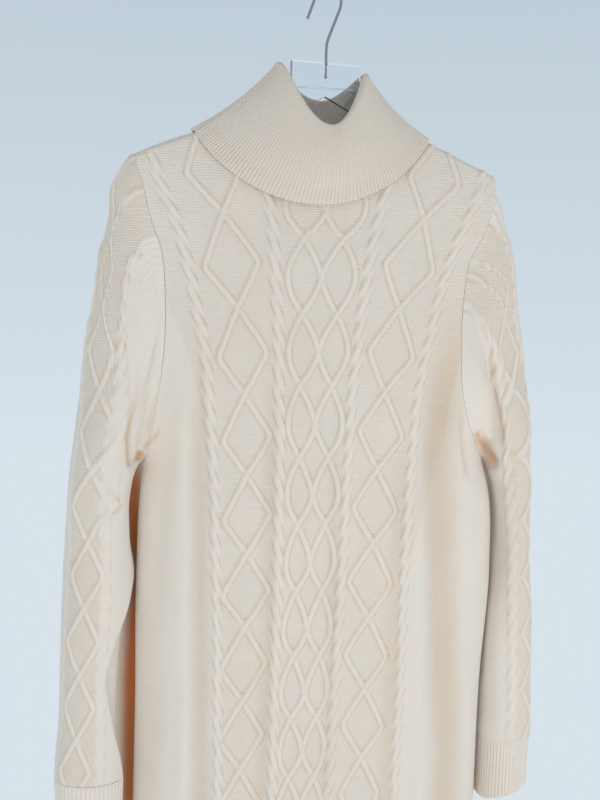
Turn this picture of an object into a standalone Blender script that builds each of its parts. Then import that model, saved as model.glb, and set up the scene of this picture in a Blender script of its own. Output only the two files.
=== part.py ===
"""A cable-knit turtleneck sweater dress hanging on a clear hanger.

Metres, +Z up. The origin is the inside top of the hanger's hook. The dress hangs below it and
faces -Y. A drop is a distance below the origin. Every cloth piece is a wall: its outer points
lie on a form worked out from the tables below, with cables and ribs raised in them, and its
plainer inner points lie one wall's thickness inside.
"""
import math

import bmesh
import bpy
import numpy as np

# ---- Sizes -------------------------------------------------------------------------------------
WALL = 0.0022            # thickness of the knitted cloth
SEAM = 0.0003            # gap that two sewn pieces keep
ARMHOLE_GAP = 0.0005     # gap beside the armhole seam, which runs at a slant
NECK_GAP = 0.0004        # gap above the neckline
ARMPIT = 0.4645          # drop of the armpits
BODY_END = 1.055         # drop of the front's and back's lower edge
HEM = 0.045              # height of the hem band
HEM_COLUMNS = 52
SHOULDER_TOP = 0.0975    # drop that the two shoulder lines would reach at the centre
SHOULDER_SLOPE = 0.42
HANGER_LEAN = 0.025      # the hanger's right end hangs lower by this share
SHOULDER_ROLL = 0.007    # radius of the cloth where it passes over the hanger's arm
NECK_HALF = 0.075        # half the width of the neckline
NECK_LIP = 0.050         # the front's edge is free of the hanger inside this half width
NECK_CORNER = 0.012      # how near its corners the neckline is cut finely
NECK_DROP = {"front": 0.168, "back": 0.142}
STRAND_HALF = 0.0024     # half the width of a travelling strand
ROPE_HALF = 0.0056       # half the width of a rope cable
STRAND_RISE = 0.0021
ROPE_RISE = 0.0026
ROPE_ROUND = 0.7         # a rope's section is rounder than a strand's by this power
ROPE_SWAY = 0.0015       # how far a rope's crest wanders from side to side
LEAST_STEP = 0.0007      # least distance between two columns of points
RELIEF_MARGIN = 0.006    # cables rise from nothing over this distance from an edge
YOKE_ROWS = (0.0, 0.0022, 0.006, 0.015)            # rows that follow the top edge, below it
SIDE_SHARES = (0.22, 0.44, 0.64, 0.82, 0.94, 1.0)  # plain columns' shares of the way to a side
BACK_NECK = (0.0, 0.025, 0.047, 0.064, NECK_HALF)  # columns of the back inside the neckline
BACK_COLUMNS = 2 * len(BACK_NECK) - 1 + 2 * len(SIDE_SHARES)


def table(names, *rows):
    """Columns of numbers under their names, from rows listed downwards."""
    return dict(zip(names.split(), np.array(rows, float).T))


# Half widths to the seams on either side, how far round the section those seams lie, the
# section's depth in front and behind, and where the pattern's middle line runs.
BODY = table(
    "drop left right share front back axis",
    (0.120, 0.190, 0.186, 0.55, 0.012, 0.009, -0.001),
    (0.175, 0.186, 0.182, 0.58, 0.030, 0.020, -0.001),
    (0.200, 0.176, 0.174, 0.66, 0.035, 0.026, -0.001),
    (0.225, 0.164, 0.165, 0.70, 0.038, 0.030, -0.002),
    (0.260, 0.156, 0.157, 0.73, 0.042, 0.033, -0.004),
    (0.300, 0.151, 0.151, 0.74, 0.045, 0.036, -0.006),
    (0.350, 0.148, 0.146, 0.76, 0.048, 0.039, -0.007),
    (0.390, 0.150, 0.146, 0.79, 0.050, 0.041, -0.009),
    (0.420, 0.156, 0.156, 0.85, 0.052, 0.043, -0.009),
    (0.445, 0.164, 0.168, 0.94, 0.053, 0.044, -0.009),
    (0.4645, 0.1720, 0.1785, 1.00, 0.054, 0.045, -0.010),
    (0.490, 0.1745, 0.1860, 1.00, 0.055, 0.046, -0.010),
    (0.575, 0.178, 0.193, 1.00, 0.056, 0.047, -0.011),
    (0.700, 0.178, 0.188, 1.00, 0.057, 0.048, -0.013),
    (0.850, 0.180, 0.188, 1.00, 0.058, 0.050, -0.015),
    (1.100, 0.184, 0.190, 1.00, 0.060, 0.052, -0.015))

# Where the cables stand beside the middle line: the outer rope, the diamonds' centre and half
# width, the inner rope, and the half width of the centre lattice.
PATTERN = table(
    "drop outer_rope diamond diamond_half inner_rope lattice_half",
    (0.120, 0.174, 0.122, 0.0250, 0.072, 0.0400),
    (0.190, 0.160, 0.106, 0.0245, 0.059, 0.0370),
    (0.235, 0.140, 0.095, 0.0240, 0.050, 0.0350),
    (0.276, 0.126, 0.084, 0.0235, 0.045, 0.0335),
    (0.320, 0.114, 0.0760, 0.0220, 0.0405, 0.0305),
    (0.370, 0.105, 0.0710, 0.0215, 0.0370, 0.0280),
    (0.440, 0.098, 0.0660, 0.0210, 0.0340, 0.0255),
    (0.550, 0.095, 0.0630, 0.0210, 0.0320, 0.0235),
    (0.700, 0.092, 0.0625, 0.0190, 0.0300, 0.0215),
    (0.800, 0.090, 0.0630, 0.0180, 0.0285, 0.0200),
    (1.100, 0.090, 0.0630, 0.0180, 0.0285, 0.0200))

# Drops at which the diamonds' strands cross, and the lattice's first crossing and period.
CROSSINGS = np.array([0.1370, 0.2215, 0.3055, 0.3870, 0.4645, 0.5380, 0.6195, 0.6990, 0.7740,
                      0.8500, 0.9260, 1.0020, 1.0780])
LATTICE_START = 0.244
LATTICE_PERIOD = 0.070

# Long soft folds of the body: where each stands beside the middle line, its half width, its
# depth (a trough is negative), and the drops at which it begins and is full.
FOLDS = table(
    "across half depth begins full",
    (-0.148, 0.014, 0.0030, 0.34, 0.52),
    (-0.118, 0.013, -0.0055, 0.32, 0.50),
    (-0.093, 0.012, 0.0025, 0.30, 0.46),
    (-0.046, 0.009, -0.0030, 0.30, 0.50),
    (-0.028, 0.012, 0.0020, 0.28, 0.44),
    (0.015, 0.009, -0.0022, 0.34, 0.56),
    (0.032, 0.012, 0.0025, 0.28, 0.44),
    (0.083, 0.009, -0.0030, 0.34, 0.50),
    (0.106, 0.014, 0.0035, 0.32, 0.46),
    (0.144, 0.016, -0.0075, 0.32, 0.50),
    (0.172, 0.012, 0.0030, 0.40, 0.56))
BACK_FOLDS = table(
    "across half depth begins full",
    (-0.140, 0.022, 0.0030, 0.34, 0.52),
    (-0.090, 0.026, -0.0060, 0.28, 0.48),
    (-0.035, 0.028, 0.0035, 0.24, 0.44),
    (0.025, 0.024, -0.0050, 0.30, 0.54),
    (0.080, 0.028, 0.0040, 0.26, 0.46),
    (0.130, 0.024, -0.0060, 0.32, 0.52))

# Each sleeve as a tube: its outer side, middle and inner side from the centre plane, its depth,
# and the angles round it of its lattice and front rope, with 90 degrees in front.
SLEEVES = {
    "left": table(
        "drop outer middle inner depth lattice rope",
        (0.175, 0.188, 0.180, 0.175, 0.012, 20, 62),
        (0.200, 0.201, 0.170, 0.165, 0.026, 24, 60),
        (0.250, 0.211, 0.160, 0.155, 0.032, 29, 58),
        (0.300, 0.219, 0.157, 0.152, 0.036, 33, 58),
        (0.360, 0.2295, 0.165, 0.158, 0.038, 40, 66),
        (0.420, 0.236, 0.187, 0.168, 0.040, 52, 80),
        (0.4645, 0.239, 0.204, 0.180, 0.040, 62, 92),
        (0.500, 0.242, 0.213, 0.186, 0.038, 66, 98),
        (0.580, 0.247, 0.2145, 0.1825, 0.037, 65, 102),
        (0.650, 0.250, 0.2185, 0.1865, 0.036, 63, 104),
        (0.720, 0.253, 0.2205, 0.1880, 0.035, 61, 106),
        (0.860, 0.256, 0.2215, 0.1870, 0.034, 58, 108)),
    "right": table(
        "drop outer middle inner depth lattice rope",
        (0.175, 0.184, 0.177, 0.173, 0.012, 26, 66),
        (0.200, 0.193, 0.168, 0.164, 0.026, 30, 68),
        (0.250, 0.204, 0.163, 0.158, 0.033, 34, 72),
        (0.300, 0.213, 0.163, 0.155, 0.038, 38, 74),
        (0.360, 0.2215, 0.172, 0.160, 0.042, 44, 84),
        (0.420, 0.229, 0.194, 0.172, 0.044, 54, 98),
        (0.4645, 0.2335, 0.209, 0.189, 0.044, 62, 108),
        (0.500, 0.2365, 0.2185, 0.2000, 0.043, 68, 114),
        (0.575, 0.2405, 0.2195, 0.1975, 0.042, 64, 112),
        (0.620, 0.2430, 0.2190, 0.1945, 0.040, 60, 104),
        (0.700, 0.2480, 0.2200, 0.1920, 0.037, 54, 98),
        (0.840, 0.2540, 0.2225, 0.1920, 0.034, 50, 96))}
SLEEVE_END = {"left": 0.788, "right": 0.770}
SLEEVE_CROSSINGS = {
    "left": np.array([0.150, 0.225, 0.300, 0.391, 0.468, 0.542, 0.607, 0.679, 0.740, 0.805]),
    "right": np.array([0.120, 0.178, 0.236, 0.294, 0.352, 0.410, 0.462, 0.520, 0.579, 0.635,
                       0.689, 0.745, 0.800])}
SLEEVE_TOP = 0.175               # drop of the armhole's highest point
SLEEVE_ROWS = 34
SLEEVE_ROOT = 0.10               # share of the sleeve in which the armhole's ring becomes a tube
SLEEVE_GIRTH_RADIUS = 0.036      # mean radius, which turns widths into angles
SLEEVE_LATTICE_HALF = 0.0130
ROPE_APART = 0.66                # least angle from the lattice's middle to a rope, in radians
SLEEVE_FOLDS = {                 # dents: angle and its half width, drops of its middle and reach
    "left": table("angle half middle reach depth",
                  (138, 30, 0.705, 0.085, 0.0110),
                  (150, 26, 0.560, 0.060, 0.0040),
                  (262, 34, 0.600, 0.150, 0.0060),
                  (200, 26, 0.520, 0.060, 0.0060)),
    "right": table("angle half middle reach depth",
                   (158, 26, 0.560, 0.090, 0.0050),
                   (268, 34, 0.620, 0.150, 0.0060),
                   (205, 24, 0.520, 0.060, 0.0050))}
CUFF = 0.064
CUFF_RIBS = 48
CUFF_TIGHT = 0.96                # a cuff's width against its sleeve's
RIB_RISE = 0.0007

# The turned-down collar: rings of its lower edge and of its fold.
COLLAR_CENTRE = -0.010
COLLAR_EDGE = {"half_width": 0.118, "front": 0.212, "back": 0.190, "power": 1.7,
               "bulge_front": 0.004, "bulge_side": -0.004}
COLLAR_FOLD = {"left": 0.052, "right": 0.0395, "side": 0.0845, "front": 0.1400, "back": 0.108,
               "power": 2.4, "depth_front": 0.036, "depth_back": 0.028}
COLLAR_CLEAR = 0.0062            # the flap's outer face stands this far off the body's
FOLD_RADIUS = 0.0037
COLLAR_RIBS = 128
COLLAR_WELT = 0.16               # share of the flap's height that the welt takes
COLLAR_COLUMNS = 32

# The hanger: a clear sheet with a thicker block, and a chrome wire hook.
BLOCK_HALF = 0.034
BLOCK_TOP = 0.0735
BLOCK_BOTTOM = 0.097
BLOCK_THICK = 0.010
ARM_THICK = 0.006
ARM_END = 0.168
ARM_NOTCH = 0.105                # drop of the arms' lower edges where they meet
ARM_LOWER = ((0.0, 0.03, 0.075, 0.168), (0.105, 0.1195, 0.1520, 0.1910))   # lower edge: x, drop
ARM_CLEAR = WALL + 0.0014        # from the cloth's outer face to the arm's upper edge
ARM_DIP = 0.010                  # the arms' upper edge dips below the neck's corners
WIRE = 0.0014                    # radius of the hook's wire
LOOP = 0.0150                    # radius of the hook's loop, to the wire's centre
LOOP_SHIFT = 0.0015
HOOK_TURN = math.radians(25)
STEM_TOP = 0.054
STEM_END = 0.087


# ---- Curves and surfaces -----------------------------------------------------------------------
def read(columns, name, drop):
    """A table's value at a drop, on a smooth curve through its rows."""
    at, value = columns["drop"], columns[name]
    slope = np.gradient(value, at)
    x = np.clip(drop, at[0], at[-1])
    i = np.clip(np.searchsorted(at, x) - 1, 0, len(at) - 2)
    step = at[i + 1] - at[i]
    t = (x - at[i]) / step
    return ((1 + 2 * t) * (1 - t) ** 2 * value[i] + t * (1 - t) ** 2 * step * slope[i]
            + t * t * (3 - 2 * t) * value[i + 1] + t * t * (t - 1) * step * slope[i + 1])


def ramp(low, high, value):
    """0 up to low, 1 from high on, and a smooth rise between."""
    t = np.clip((value - low) / (high - low), 0.0, 1.0)
    return t * t * (3 - 2 * t)


def mound(offset, half):
    """A round ridge, 1 at its crest and 0 from half on."""
    return np.clip(1 - (offset / half) ** 2, 0.0, 1.0)


def zigzag(crossings, drop):
    """0 where two strands cross and 1 half way between, in straight lines."""
    phase = np.interp(drop, crossings, np.arange(len(crossings)))
    return 1 - np.abs(2 * (phase % 1) - 1)


def shoulder(x):
    """Drop of the shoulder line."""
    return SHOULDER_TOP + SHOULDER_SLOPE * np.abs(x) + HANGER_LEAN * x


def top_edge(x, side):
    """Drop of a body panel's top edge: the neckline's dip, then the shoulder."""
    inside = np.clip(1 - (x / NECK_HALF) ** 2, 0.0, 1.0)
    corner = shoulder(np.clip(x, -NECK_HALF, NECK_HALF))
    dip = corner + (NECK_DROP[side] - corner) * inside ** 1.2
    return np.where(np.abs(x) < NECK_HALF, dip, shoulder(x))


def folds(rows, across, drop):
    """Height of a set of long soft folds."""
    height = np.zeros(np.broadcast(across, drop).shape)
    for at, half, depth, begins, full in zip(*rows.values()):
        height += depth * np.exp(-((across - at) / half) ** 2) * ramp(begins, full, drop)
    return height


def body_depth(x, drop, side):
    """How far a body panel stands from the centre plane.

    The section is a flattened round from seam to seam. At the shoulder it rolls over the
    hanger's arm, and it has the panel's folds, which fade towards the side seams.
    """
    edge = np.where(x < 0, read(BODY, "left", drop), read(BODY, "right", drop))
    around = np.clip(np.abs(x) / edge * read(BODY, "share", drop), 0.0, 1.0)
    flank = np.sqrt(1 - around ** 2.6)
    roll = np.clip((drop - top_edge(x, side)) / SHOULDER_ROLL, 0.0, 1.0)
    roll = np.sqrt(1 - (1 - roll) ** 2)
    hung = ramp(NECK_LIP, NECK_HALF, np.abs(x))
    rows = FOLDS if side == "front" else BACK_FOLDS
    fold = folds(rows, x - read(BODY, "axis", drop), drop) * np.clip(1.6 * flank - 0.3, 0, 1)
    depth = read(BODY, side, drop) * flank * (1 - hung * (1 - roll)) + fold
    return np.maximum(depth, SEAM / 2)


def body_points(x, drop, side):
    """Points of a body panel's plain outer face, and their outward directions."""
    step = 0.0004
    depth = body_depth(x, drop, side)
    slope_x = (body_depth(x + step, drop, side) - body_depth(x - step, drop, side)) / (2 * step)
    slope_z = (body_depth(x, drop - step, side) - body_depth(x, drop + step, side)) / (2 * step)
    facing = -1.0 if side == "front" else 1.0
    points = np.stack([x, facing * depth, -drop], -1)
    out = np.stack([-slope_x, facing * np.ones_like(x), -slope_z], -1)
    return points, out / np.linalg.norm(out, axis=-1, keepdims=True)


# ---- Cables ------------------------------------------------------------------------------------
def strand_offsets(drop):
    """Distances from the middle line of the strands and ropes on one half of the front."""
    diamond = read(PATTERN, "diamond", drop)
    open_by = read(PATTERN, "diamond_half", drop) * zigzag(CROSSINGS, drop)
    half = read(PATTERN, "lattice_half", drop) / 2
    wave = np.abs(np.sin(np.pi * (drop - LATTICE_START) / LATTICE_PERIOD))
    return {"strands": (diamond - open_by, diamond + open_by, half * (1 - wave), half * (1 + wave)),
            "ropes": (read(PATTERN, "inner_rope", drop), read(PATTERN, "outer_rope", drop))}


def front_relief(x, drop):
    """How far the front's cables stand out of the cloth."""
    across = np.abs(x - read(BODY, "axis", drop))
    lines = strand_offsets(drop)
    height = np.zeros_like(across)
    for line in lines["strands"]:
        height = np.maximum(height, STRAND_RISE * mound(across - line, STRAND_HALF))
    for line in lines["ropes"]:
        height = np.maximum(height, ROPE_RISE * mound(across - line, ROPE_HALF) ** ROPE_ROUND)
    inside = np.minimum(drop - top_edge(x, "front"), BODY_END - drop)
    return height * ramp(0, RELIEF_MARGIN, inside)


def spread(columns):
    """Put each row's columns in order, at least LEAST_STEP apart."""
    shift = LEAST_STEP * np.arange(columns.shape[-1])
    level = columns - shift
    up = np.maximum.accumulate(level, axis=-1)
    down = np.minimum.accumulate(level[..., ::-1], axis=-1)[..., ::-1]
    return (up + down) / 2 + shift


def front_columns(drop, row):
    """X of every column of the front at one row's drops, from side to side."""
    lines = strand_offsets(drop)
    near_d, far_d, near_l, far_l = lines["strands"]
    sway = ROPE_SWAY * (1 if row % 2 else -1)
    half = [near_l - STRAND_HALF, near_l, near_l + STRAND_HALF,
            far_l - STRAND_HALF, far_l, far_l + STRAND_HALF]
    inner, outer = lines["ropes"]
    half += [inner - ROPE_HALF, inner + sway, inner + ROPE_HALF]
    half += [near_d - STRAND_HALF, near_d, near_d + STRAND_HALF, (near_d + far_d) / 2,
             far_d - STRAND_HALF, far_d, far_d + STRAND_HALF]
    half += [outer - ROPE_HALF, outer + sway, outer + ROPE_HALF]
    half = [max(value, LEAST_STEP * (i + 1)) for i, value in enumerate(half)]
    axis = read(BODY, "axis", drop)
    middle = [axis - value for value in half[::-1]] + [axis] + [axis + value for value in half]
    left, right = -read(BODY, "left", drop), read(BODY, "right", drop)
    row_x = [middle[0] + (left - middle[0]) * share for share in SIDE_SHARES[::-1]]
    row_x += middle + [middle[-1] + (right - middle[-1]) * share for share in SIDE_SHARES]
    return spread(np.array(row_x))


def front_rows():
    """Drops of the rows below the yoke: six to each diamond, fewer near the hem."""
    drops = []
    for above, below in zip(CROSSINGS[1:-1], CROSSINGS[2:]):
        steps = 6 if below < 0.78 else 4
        drops += [above + (below - above) * k / steps for k in range(steps)]
    return [drop for drop in drops if drop < BODY_END - 0.004] + [BODY_END]


def panel_grid(side, rows, columns_at, count):
    """Every point's x and drop: rows follow the top edge first and then run level."""
    yoke = len(YOKE_ROWS)
    x = np.zeros((yoke + 2 + len(rows), count))
    drop = np.zeros_like(x)
    first = rows[0]
    for i in range(len(x)):
        drop[i] = rows[max(i - yoke - 2, 0)]
        for _ in range(5):
            x[i] = [columns_at(value, i)[j] for j, value in enumerate(drop[i])]
            if i < yoke:
                for corner in (-NECK_HALF, NECK_HALF):
                    x[i, np.argmin(np.abs(x[0] - corner))] = corner
            top = top_edge(x[i], side)
            if i < yoke:
                drop[i] = top + YOKE_ROWS[i]
            elif i < yoke + 2:
                share = (i - yoke + 1) / 3
                drop[i] = (top + YOKE_ROWS[-1]) * (1 - share) + first * share
    return x, drop


# ---- Walls -------------------------------------------------------------------------------------
class Wall:
    """Points and faces of one closed piece, gathered row by row."""

    def __init__(self):
        self.points = []
        self.faces = []

    def row(self, points):
        start = len(self.points)
        self.points += [tuple(map(float, point)) for point in points]
        return list(range(start, len(self.points)))

    def band(self, upper, lower, ring=False):
        """Quads between two rows of the same length."""
        for j in range(len(upper) if ring else len(upper) - 1):
            k = (j + 1) % len(upper)
            self.faces.append((upper[j], upper[k], lower[k], lower[j]))

    def rim(self, fine, coarse, picks, ring=False, mirrored=(0, 0)):
        """Faces between a fine row and a coarse one that meets it at the picked places.

        Places in the mirrored span run against their panel's order and are cut to match it.
        """
        spans = list(zip(picks, picks[1:] + ([picks[0] + len(fine)] if ring else [])))
        for k, (start, end) in enumerate(spans):
            against = mirrored[0] <= start and end < mirrored[1]
            middle = end - (end - start) // 2 if against else (start + end) // 2
            near, far = coarse[k], coarse[(k + 1) % len(coarse)]
            for i in range(start, end):
                corner = near if i < middle else far
                self.faces.append((fine[i % len(fine)], fine[(i + 1) % len(fine)], corner))
            self.faces.append((fine[middle % len(fine)], far, near))

    def stitch(self, upper, lower, upper_at, lower_at):
        """Triangles between two rings of different lengths, by each point's share of the way."""
        upper_next, lower_next = np.r_[upper_at[1:], 1.0], np.r_[lower_at[1:], 1.0]
        i = j = 0
        while i < len(upper) or j < len(lower):
            corner = upper[i % len(upper)], lower[j % len(lower)]
            if j == len(lower) or (i < len(upper) and upper_next[i] <= lower_next[j]):
                i += 1
                self.faces.append((*corner, upper[i % len(upper)]))
            else:
                j += 1
                self.faces.append((*corner, lower[j % len(lower)]))

    def place(self, name, material):
        """Make the object, with its faces turned outwards."""
        mesh = bpy.data.meshes.new(name)
        mesh.from_pydata(self.points, [], self.faces)
        work = bmesh.new()
        work.from_mesh(mesh)
        bmesh.ops.recalc_face_normals(work, faces=work.faces)
        work.to_mesh(mesh)
        work.free()
        mesh.materials.append(material)
        thing = bpy.data.objects.new(name, mesh)
        DRESS.objects.link(thing)
        return thing


def picks_of(count, step):
    """Every so many places, always with the last one."""
    picks = list(range(0, count - 1, step))
    return picks + [count - 1]


def with_corners(x, step):
    """Every so many columns, and all those near the neck's corners."""
    near = np.flatnonzero(np.abs(np.abs(x[0]) - NECK_HALF) < NECK_CORNER)
    return sorted(set(near.tolist()) | set(picks_of(x.shape[1], step)))


def row_picks(drop, step):
    """Every so many rows, all of those on the shoulder's roll, and the armpit's."""
    armpit = int(np.argmin(np.abs(drop[:, 0] - ARMPIT)))
    return sorted({0, 1, 2, 3, armpit} | set(picks_of(len(drop), step)))


def panel_wall(name, side, x, drop, relief, rows_in, columns_in, material):
    """A body panel: raised outer points over a plain, coarser inner face."""
    plain, out = body_points(x, drop, side)
    outer = plain + out * relief[..., None]
    facing = -1.0 if side == "front" else 1.0
    inner = plain - out * WALL
    at_neck = np.abs(x[0]) < NECK_HALF + 1e-6
    tilt = ramp(NECK_LIP, NECK_HALF, np.abs(x[0]))
    across = np.stack([0 * tilt, -facing + 0 * tilt, -tilt], -1)
    across *= WALL / np.linalg.norm(across, axis=-1, keepdims=True)
    inner[0][at_neck] = (plain[0] + across)[at_neck]
    inner[..., 1] = facing * np.maximum(facing * inner[..., 1], SEAM / 2)
    armpit = int(np.argmin(np.abs(drop[:, 0] - ARMPIT)))
    for column, inwards in ((0, 0.6), (-1, -0.6)):
        inner[armpit, column] = plain[armpit, column] + (inwards * WALL, 0, 0.8 * WALL)
    wall = Wall()
    fine = [wall.row(points) for points in outer]
    coarse = [wall.row(points) for points in inner[np.ix_(rows_in, columns_in)]]
    for above, below in zip(fine, fine[1:]):
        wall.band(above, below)
    for above, below in zip(coarse, coarse[1:]):
        wall.band(above, below)
    wall.rim(fine[0], coarse[0], columns_in)
    wall.rim(fine[-1], coarse[-1], columns_in)
    for column in (0, -1):
        wall.rim([row[column] for row in fine], [row[column] for row in coarse], rows_in)
    wall.place(name, material)
    return {"outer": outer, "inner": inner, "armpit": armpit,
            "rows_in": rows_in, "columns_in": columns_in}


# ---- Sleeves and cuffs -------------------------------------------------------------------------
def armhole(panels, column):
    """The armhole's ring from the shoulder down the front and up the back: outer and inner."""
    gap = np.array([ARMHOLE_GAP if column else -ARMHOLE_GAP, 0, 0])
    outer, inner, picks = [], [], []
    for side, order in (("front", 1), ("back", -1)):
        panel = panels[side]
        rows = list(range(panel["armpit"] + 1))[::order]
        for row in rows:
            if row in panel["rows_in"]:
                picks.append(len(outer))
                inner.append(panel["inner"][row, -column] + gap)
            outer.append(panel["outer"][row, -column] + gap)
    return np.array(outer), np.array(inner), picks, (panels["front"]["armpit"] + 1, len(outer))


def tube_point(which, angle, drop):
    """A point of the sleeve's tube, with the angle taken from its outer side to the front."""
    rows = SLEEVES[which]
    middle = read(rows, "middle", drop)
    reach = np.where(np.cos(angle) > 0, read(rows, "outer", drop) - middle,
                     middle - read(rows, "inner", drop))
    dent = np.zeros_like(angle)
    turn = np.degrees(angle) % 360
    for at, half, centre, length, depth in zip(*SLEEVE_FOLDS[which].values()):
        dent += depth * np.exp(-((turn - at) / half) ** 2) * mound(drop - centre, length) ** 2
    depth = read(rows, "depth", drop)
    shrink = 1 - dent / SLEEVE_GIRTH_RADIUS
    sign = -1.0 if which == "left" else 1.0
    x = sign * (middle + reach * np.cos(angle) * shrink)
    return np.stack([x, -depth * np.sin(angle) * shrink, -drop], -1)


def sleeve_angles(which, drop, row, armpit):
    """Angles of the sleeve's columns: two ropes and a lattice, then the plain side.

    The plain columns stand evenly on both sides of the one below the armpit.
    """
    rows = SLEEVES[which]
    lattice = math.radians(float(read(rows, "lattice", drop)))
    rope = math.radians(float(read(rows, "rope", drop)))
    strand = STRAND_HALF / SLEEVE_GIRTH_RADIUS
    rope_half = ROPE_HALF / SLEEVE_GIRTH_RADIUS
    sway = ROPE_SWAY / SLEEVE_GIRTH_RADIUS * (1 if row % 2 else -1)
    open_by = sleeve_opening(which, drop)
    hidden = lattice - max(rope - lattice, ROPE_APART)
    front = max(rope, lattice + ROPE_APART)
    cables = [hidden - rope_half, hidden + sway, hidden + rope_half,
              lattice - open_by - strand, lattice - open_by, lattice - open_by + strand,
              lattice + open_by - strand, lattice + open_by, lattice + open_by + strand,
              front - rope_half, front + sway, front + rope_half]
    front_side = np.linspace(cables[-1], armpit, 6)[1:]
    back_side = np.linspace(armpit, cables[0] + 2 * math.pi, 7)[1:-1]
    columns = np.concatenate([cables, front_side, back_side])
    return spread(columns * SLEEVE_GIRTH_RADIUS) / SLEEVE_GIRTH_RADIUS


def sleeve_opening(which, drop):
    """Half the angle between the lattice's two strands."""
    phase = np.interp(drop, SLEEVE_CROSSINGS[which], np.arange(len(SLEEVE_CROSSINGS[which])))
    return SLEEVE_LATTICE_HALF / SLEEVE_GIRTH_RADIUS * np.abs(np.sin(np.pi * phase))


def off_line(angle, line):
    """Distance round the sleeve from a cable's line."""
    return ((angle - line + np.pi) % (2 * np.pi) - np.pi) * SLEEVE_GIRTH_RADIUS


def sleeve_relief(which, angle, drop):
    """How far the sleeve's cables stand out."""
    rows = SLEEVES[which]
    lattice = np.radians(read(rows, "lattice", drop))
    rope = np.radians(read(rows, "rope", drop))
    open_by = sleeve_opening(which, drop)
    reach = np.maximum(rope - lattice, ROPE_APART)
    height = np.zeros_like(angle)
    for turn in (-open_by, open_by):
        height = np.maximum(height, STRAND_RISE * mound(off_line(angle, lattice + turn), STRAND_HALF))
    for turn in (-reach, reach):
        rise = mound(off_line(angle, lattice + turn), ROPE_HALF) ** ROPE_ROUND
        height = np.maximum(height, ROPE_RISE * rise)
    return height * ramp(0, RELIEF_MARGIN, SLEEVE_END[which] - drop)


def along(ring, share):
    """Points at shares of a closed ring's length."""
    closed = np.vstack([ring, ring[:1]])
    length = np.r_[0, np.cumsum(np.linalg.norm(np.diff(closed, axis=0), axis=1))]
    return np.stack([np.interp((share % 1) * length[-1], length, closed[:, k])
                     for k in range(3)], -1)


def outward(grid):
    """Outward directions of a tube's grid of rows and columns."""
    around = np.roll(grid, -1, axis=1) - np.roll(grid, 1, axis=1)
    down = np.gradient(grid, axis=0)
    out = np.cross(around, down)
    centre = grid.mean(axis=1, keepdims=True)
    out *= np.where(np.sum(out * (grid - centre), -1, keepdims=True).mean() < 0, -1, 1)
    return out / np.linalg.norm(out, axis=-1, keepdims=True)


def sleeve(which, panels, material):
    """A sleeve from the armhole's ring to its end, raised over a coarser inner face."""
    outer_ring, inner_ring, picks, against = armhole(panels, 0 if which == "left" else 1)
    armpit = 2 * np.pi * shares(outer_ring)[against[0]]
    count, end = SLEEVE_ROWS, SLEEVE_END[which]
    grid, angles, drops = [], [], []
    for row in range(1, count + 1):
        share = row / count
        level = SLEEVE_TOP + (end - SLEEVE_TOP) * share
        angle = sleeve_angles(which, level, row, armpit)
        start = along(outer_ring, angle / (2 * np.pi))
        drop = -start[:, 2] * (1 - share) + end * share
        joined = math.sqrt(min(share / SLEEVE_ROOT, 1.0))
        tube = tube_point(which, angle, drop)
        point = start * (1 - joined) + tube * joined
        point[:, 2] = -drop
        grid.append(point)
        angles.append(angle)
        drops.append(drop)
    grid, angles, drops = map(np.array, (grid, angles, drops))
    out = outward(grid)
    fade = ramp(0, SLEEVE_ROOT / 2, np.linspace(0, 1, count))[:, None]
    raised = grid + out * (sleeve_relief(which, angles, drops) * fade)[..., None]
    raised[-1, :, 2] = -end
    plain = grid - out * WALL
    plain[-1, :, 2] = -end
    rows_in = [0] + list(range(2, count - 1, 3)) + [count - 1]
    columns_in = list(range(0, grid.shape[1], 2))
    wall = Wall()
    rim_out, rim_in = wall.row(outer_ring), wall.row(inner_ring)
    fine = [wall.row(points) for points in raised]
    coarse = [wall.row(points) for points in plain[np.ix_(rows_in, columns_in)]]
    wall.rim(rim_out, rim_in, picks, ring=True, mirrored=against)
    wall.stitch(rim_out, *turned(fine[0], angles[0] / (2 * np.pi), shares(outer_ring)))
    wall.stitch(rim_in, *turned(coarse[0], angles[0][columns_in] / (2 * np.pi), shares(inner_ring)))
    for above, below in zip(fine, fine[1:]):
        wall.band(above, below, ring=True)
    for above, below in zip(coarse, coarse[1:]):
        wall.band(above, below, ring=True)
    wall.rim(fine[-1], coarse[-1], columns_in, ring=True)
    wall.place("sleeve_" + which, material)


def shares(ring):
    """Each point's share of the way round a closed ring."""
    step = np.linalg.norm(np.roll(ring, -1, axis=0) - ring, axis=1)
    return np.r_[0, np.cumsum(step[:-1])] / step.sum()


def turned(row, row_at, ring_at):
    """The row started at its first point after the ring's start, for Wall.stitch."""
    row_at = row_at % 1
    first = int(np.argmin(row_at))
    return row[first:] + row[:first], ring_at, np.roll(row_at, -first)


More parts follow.
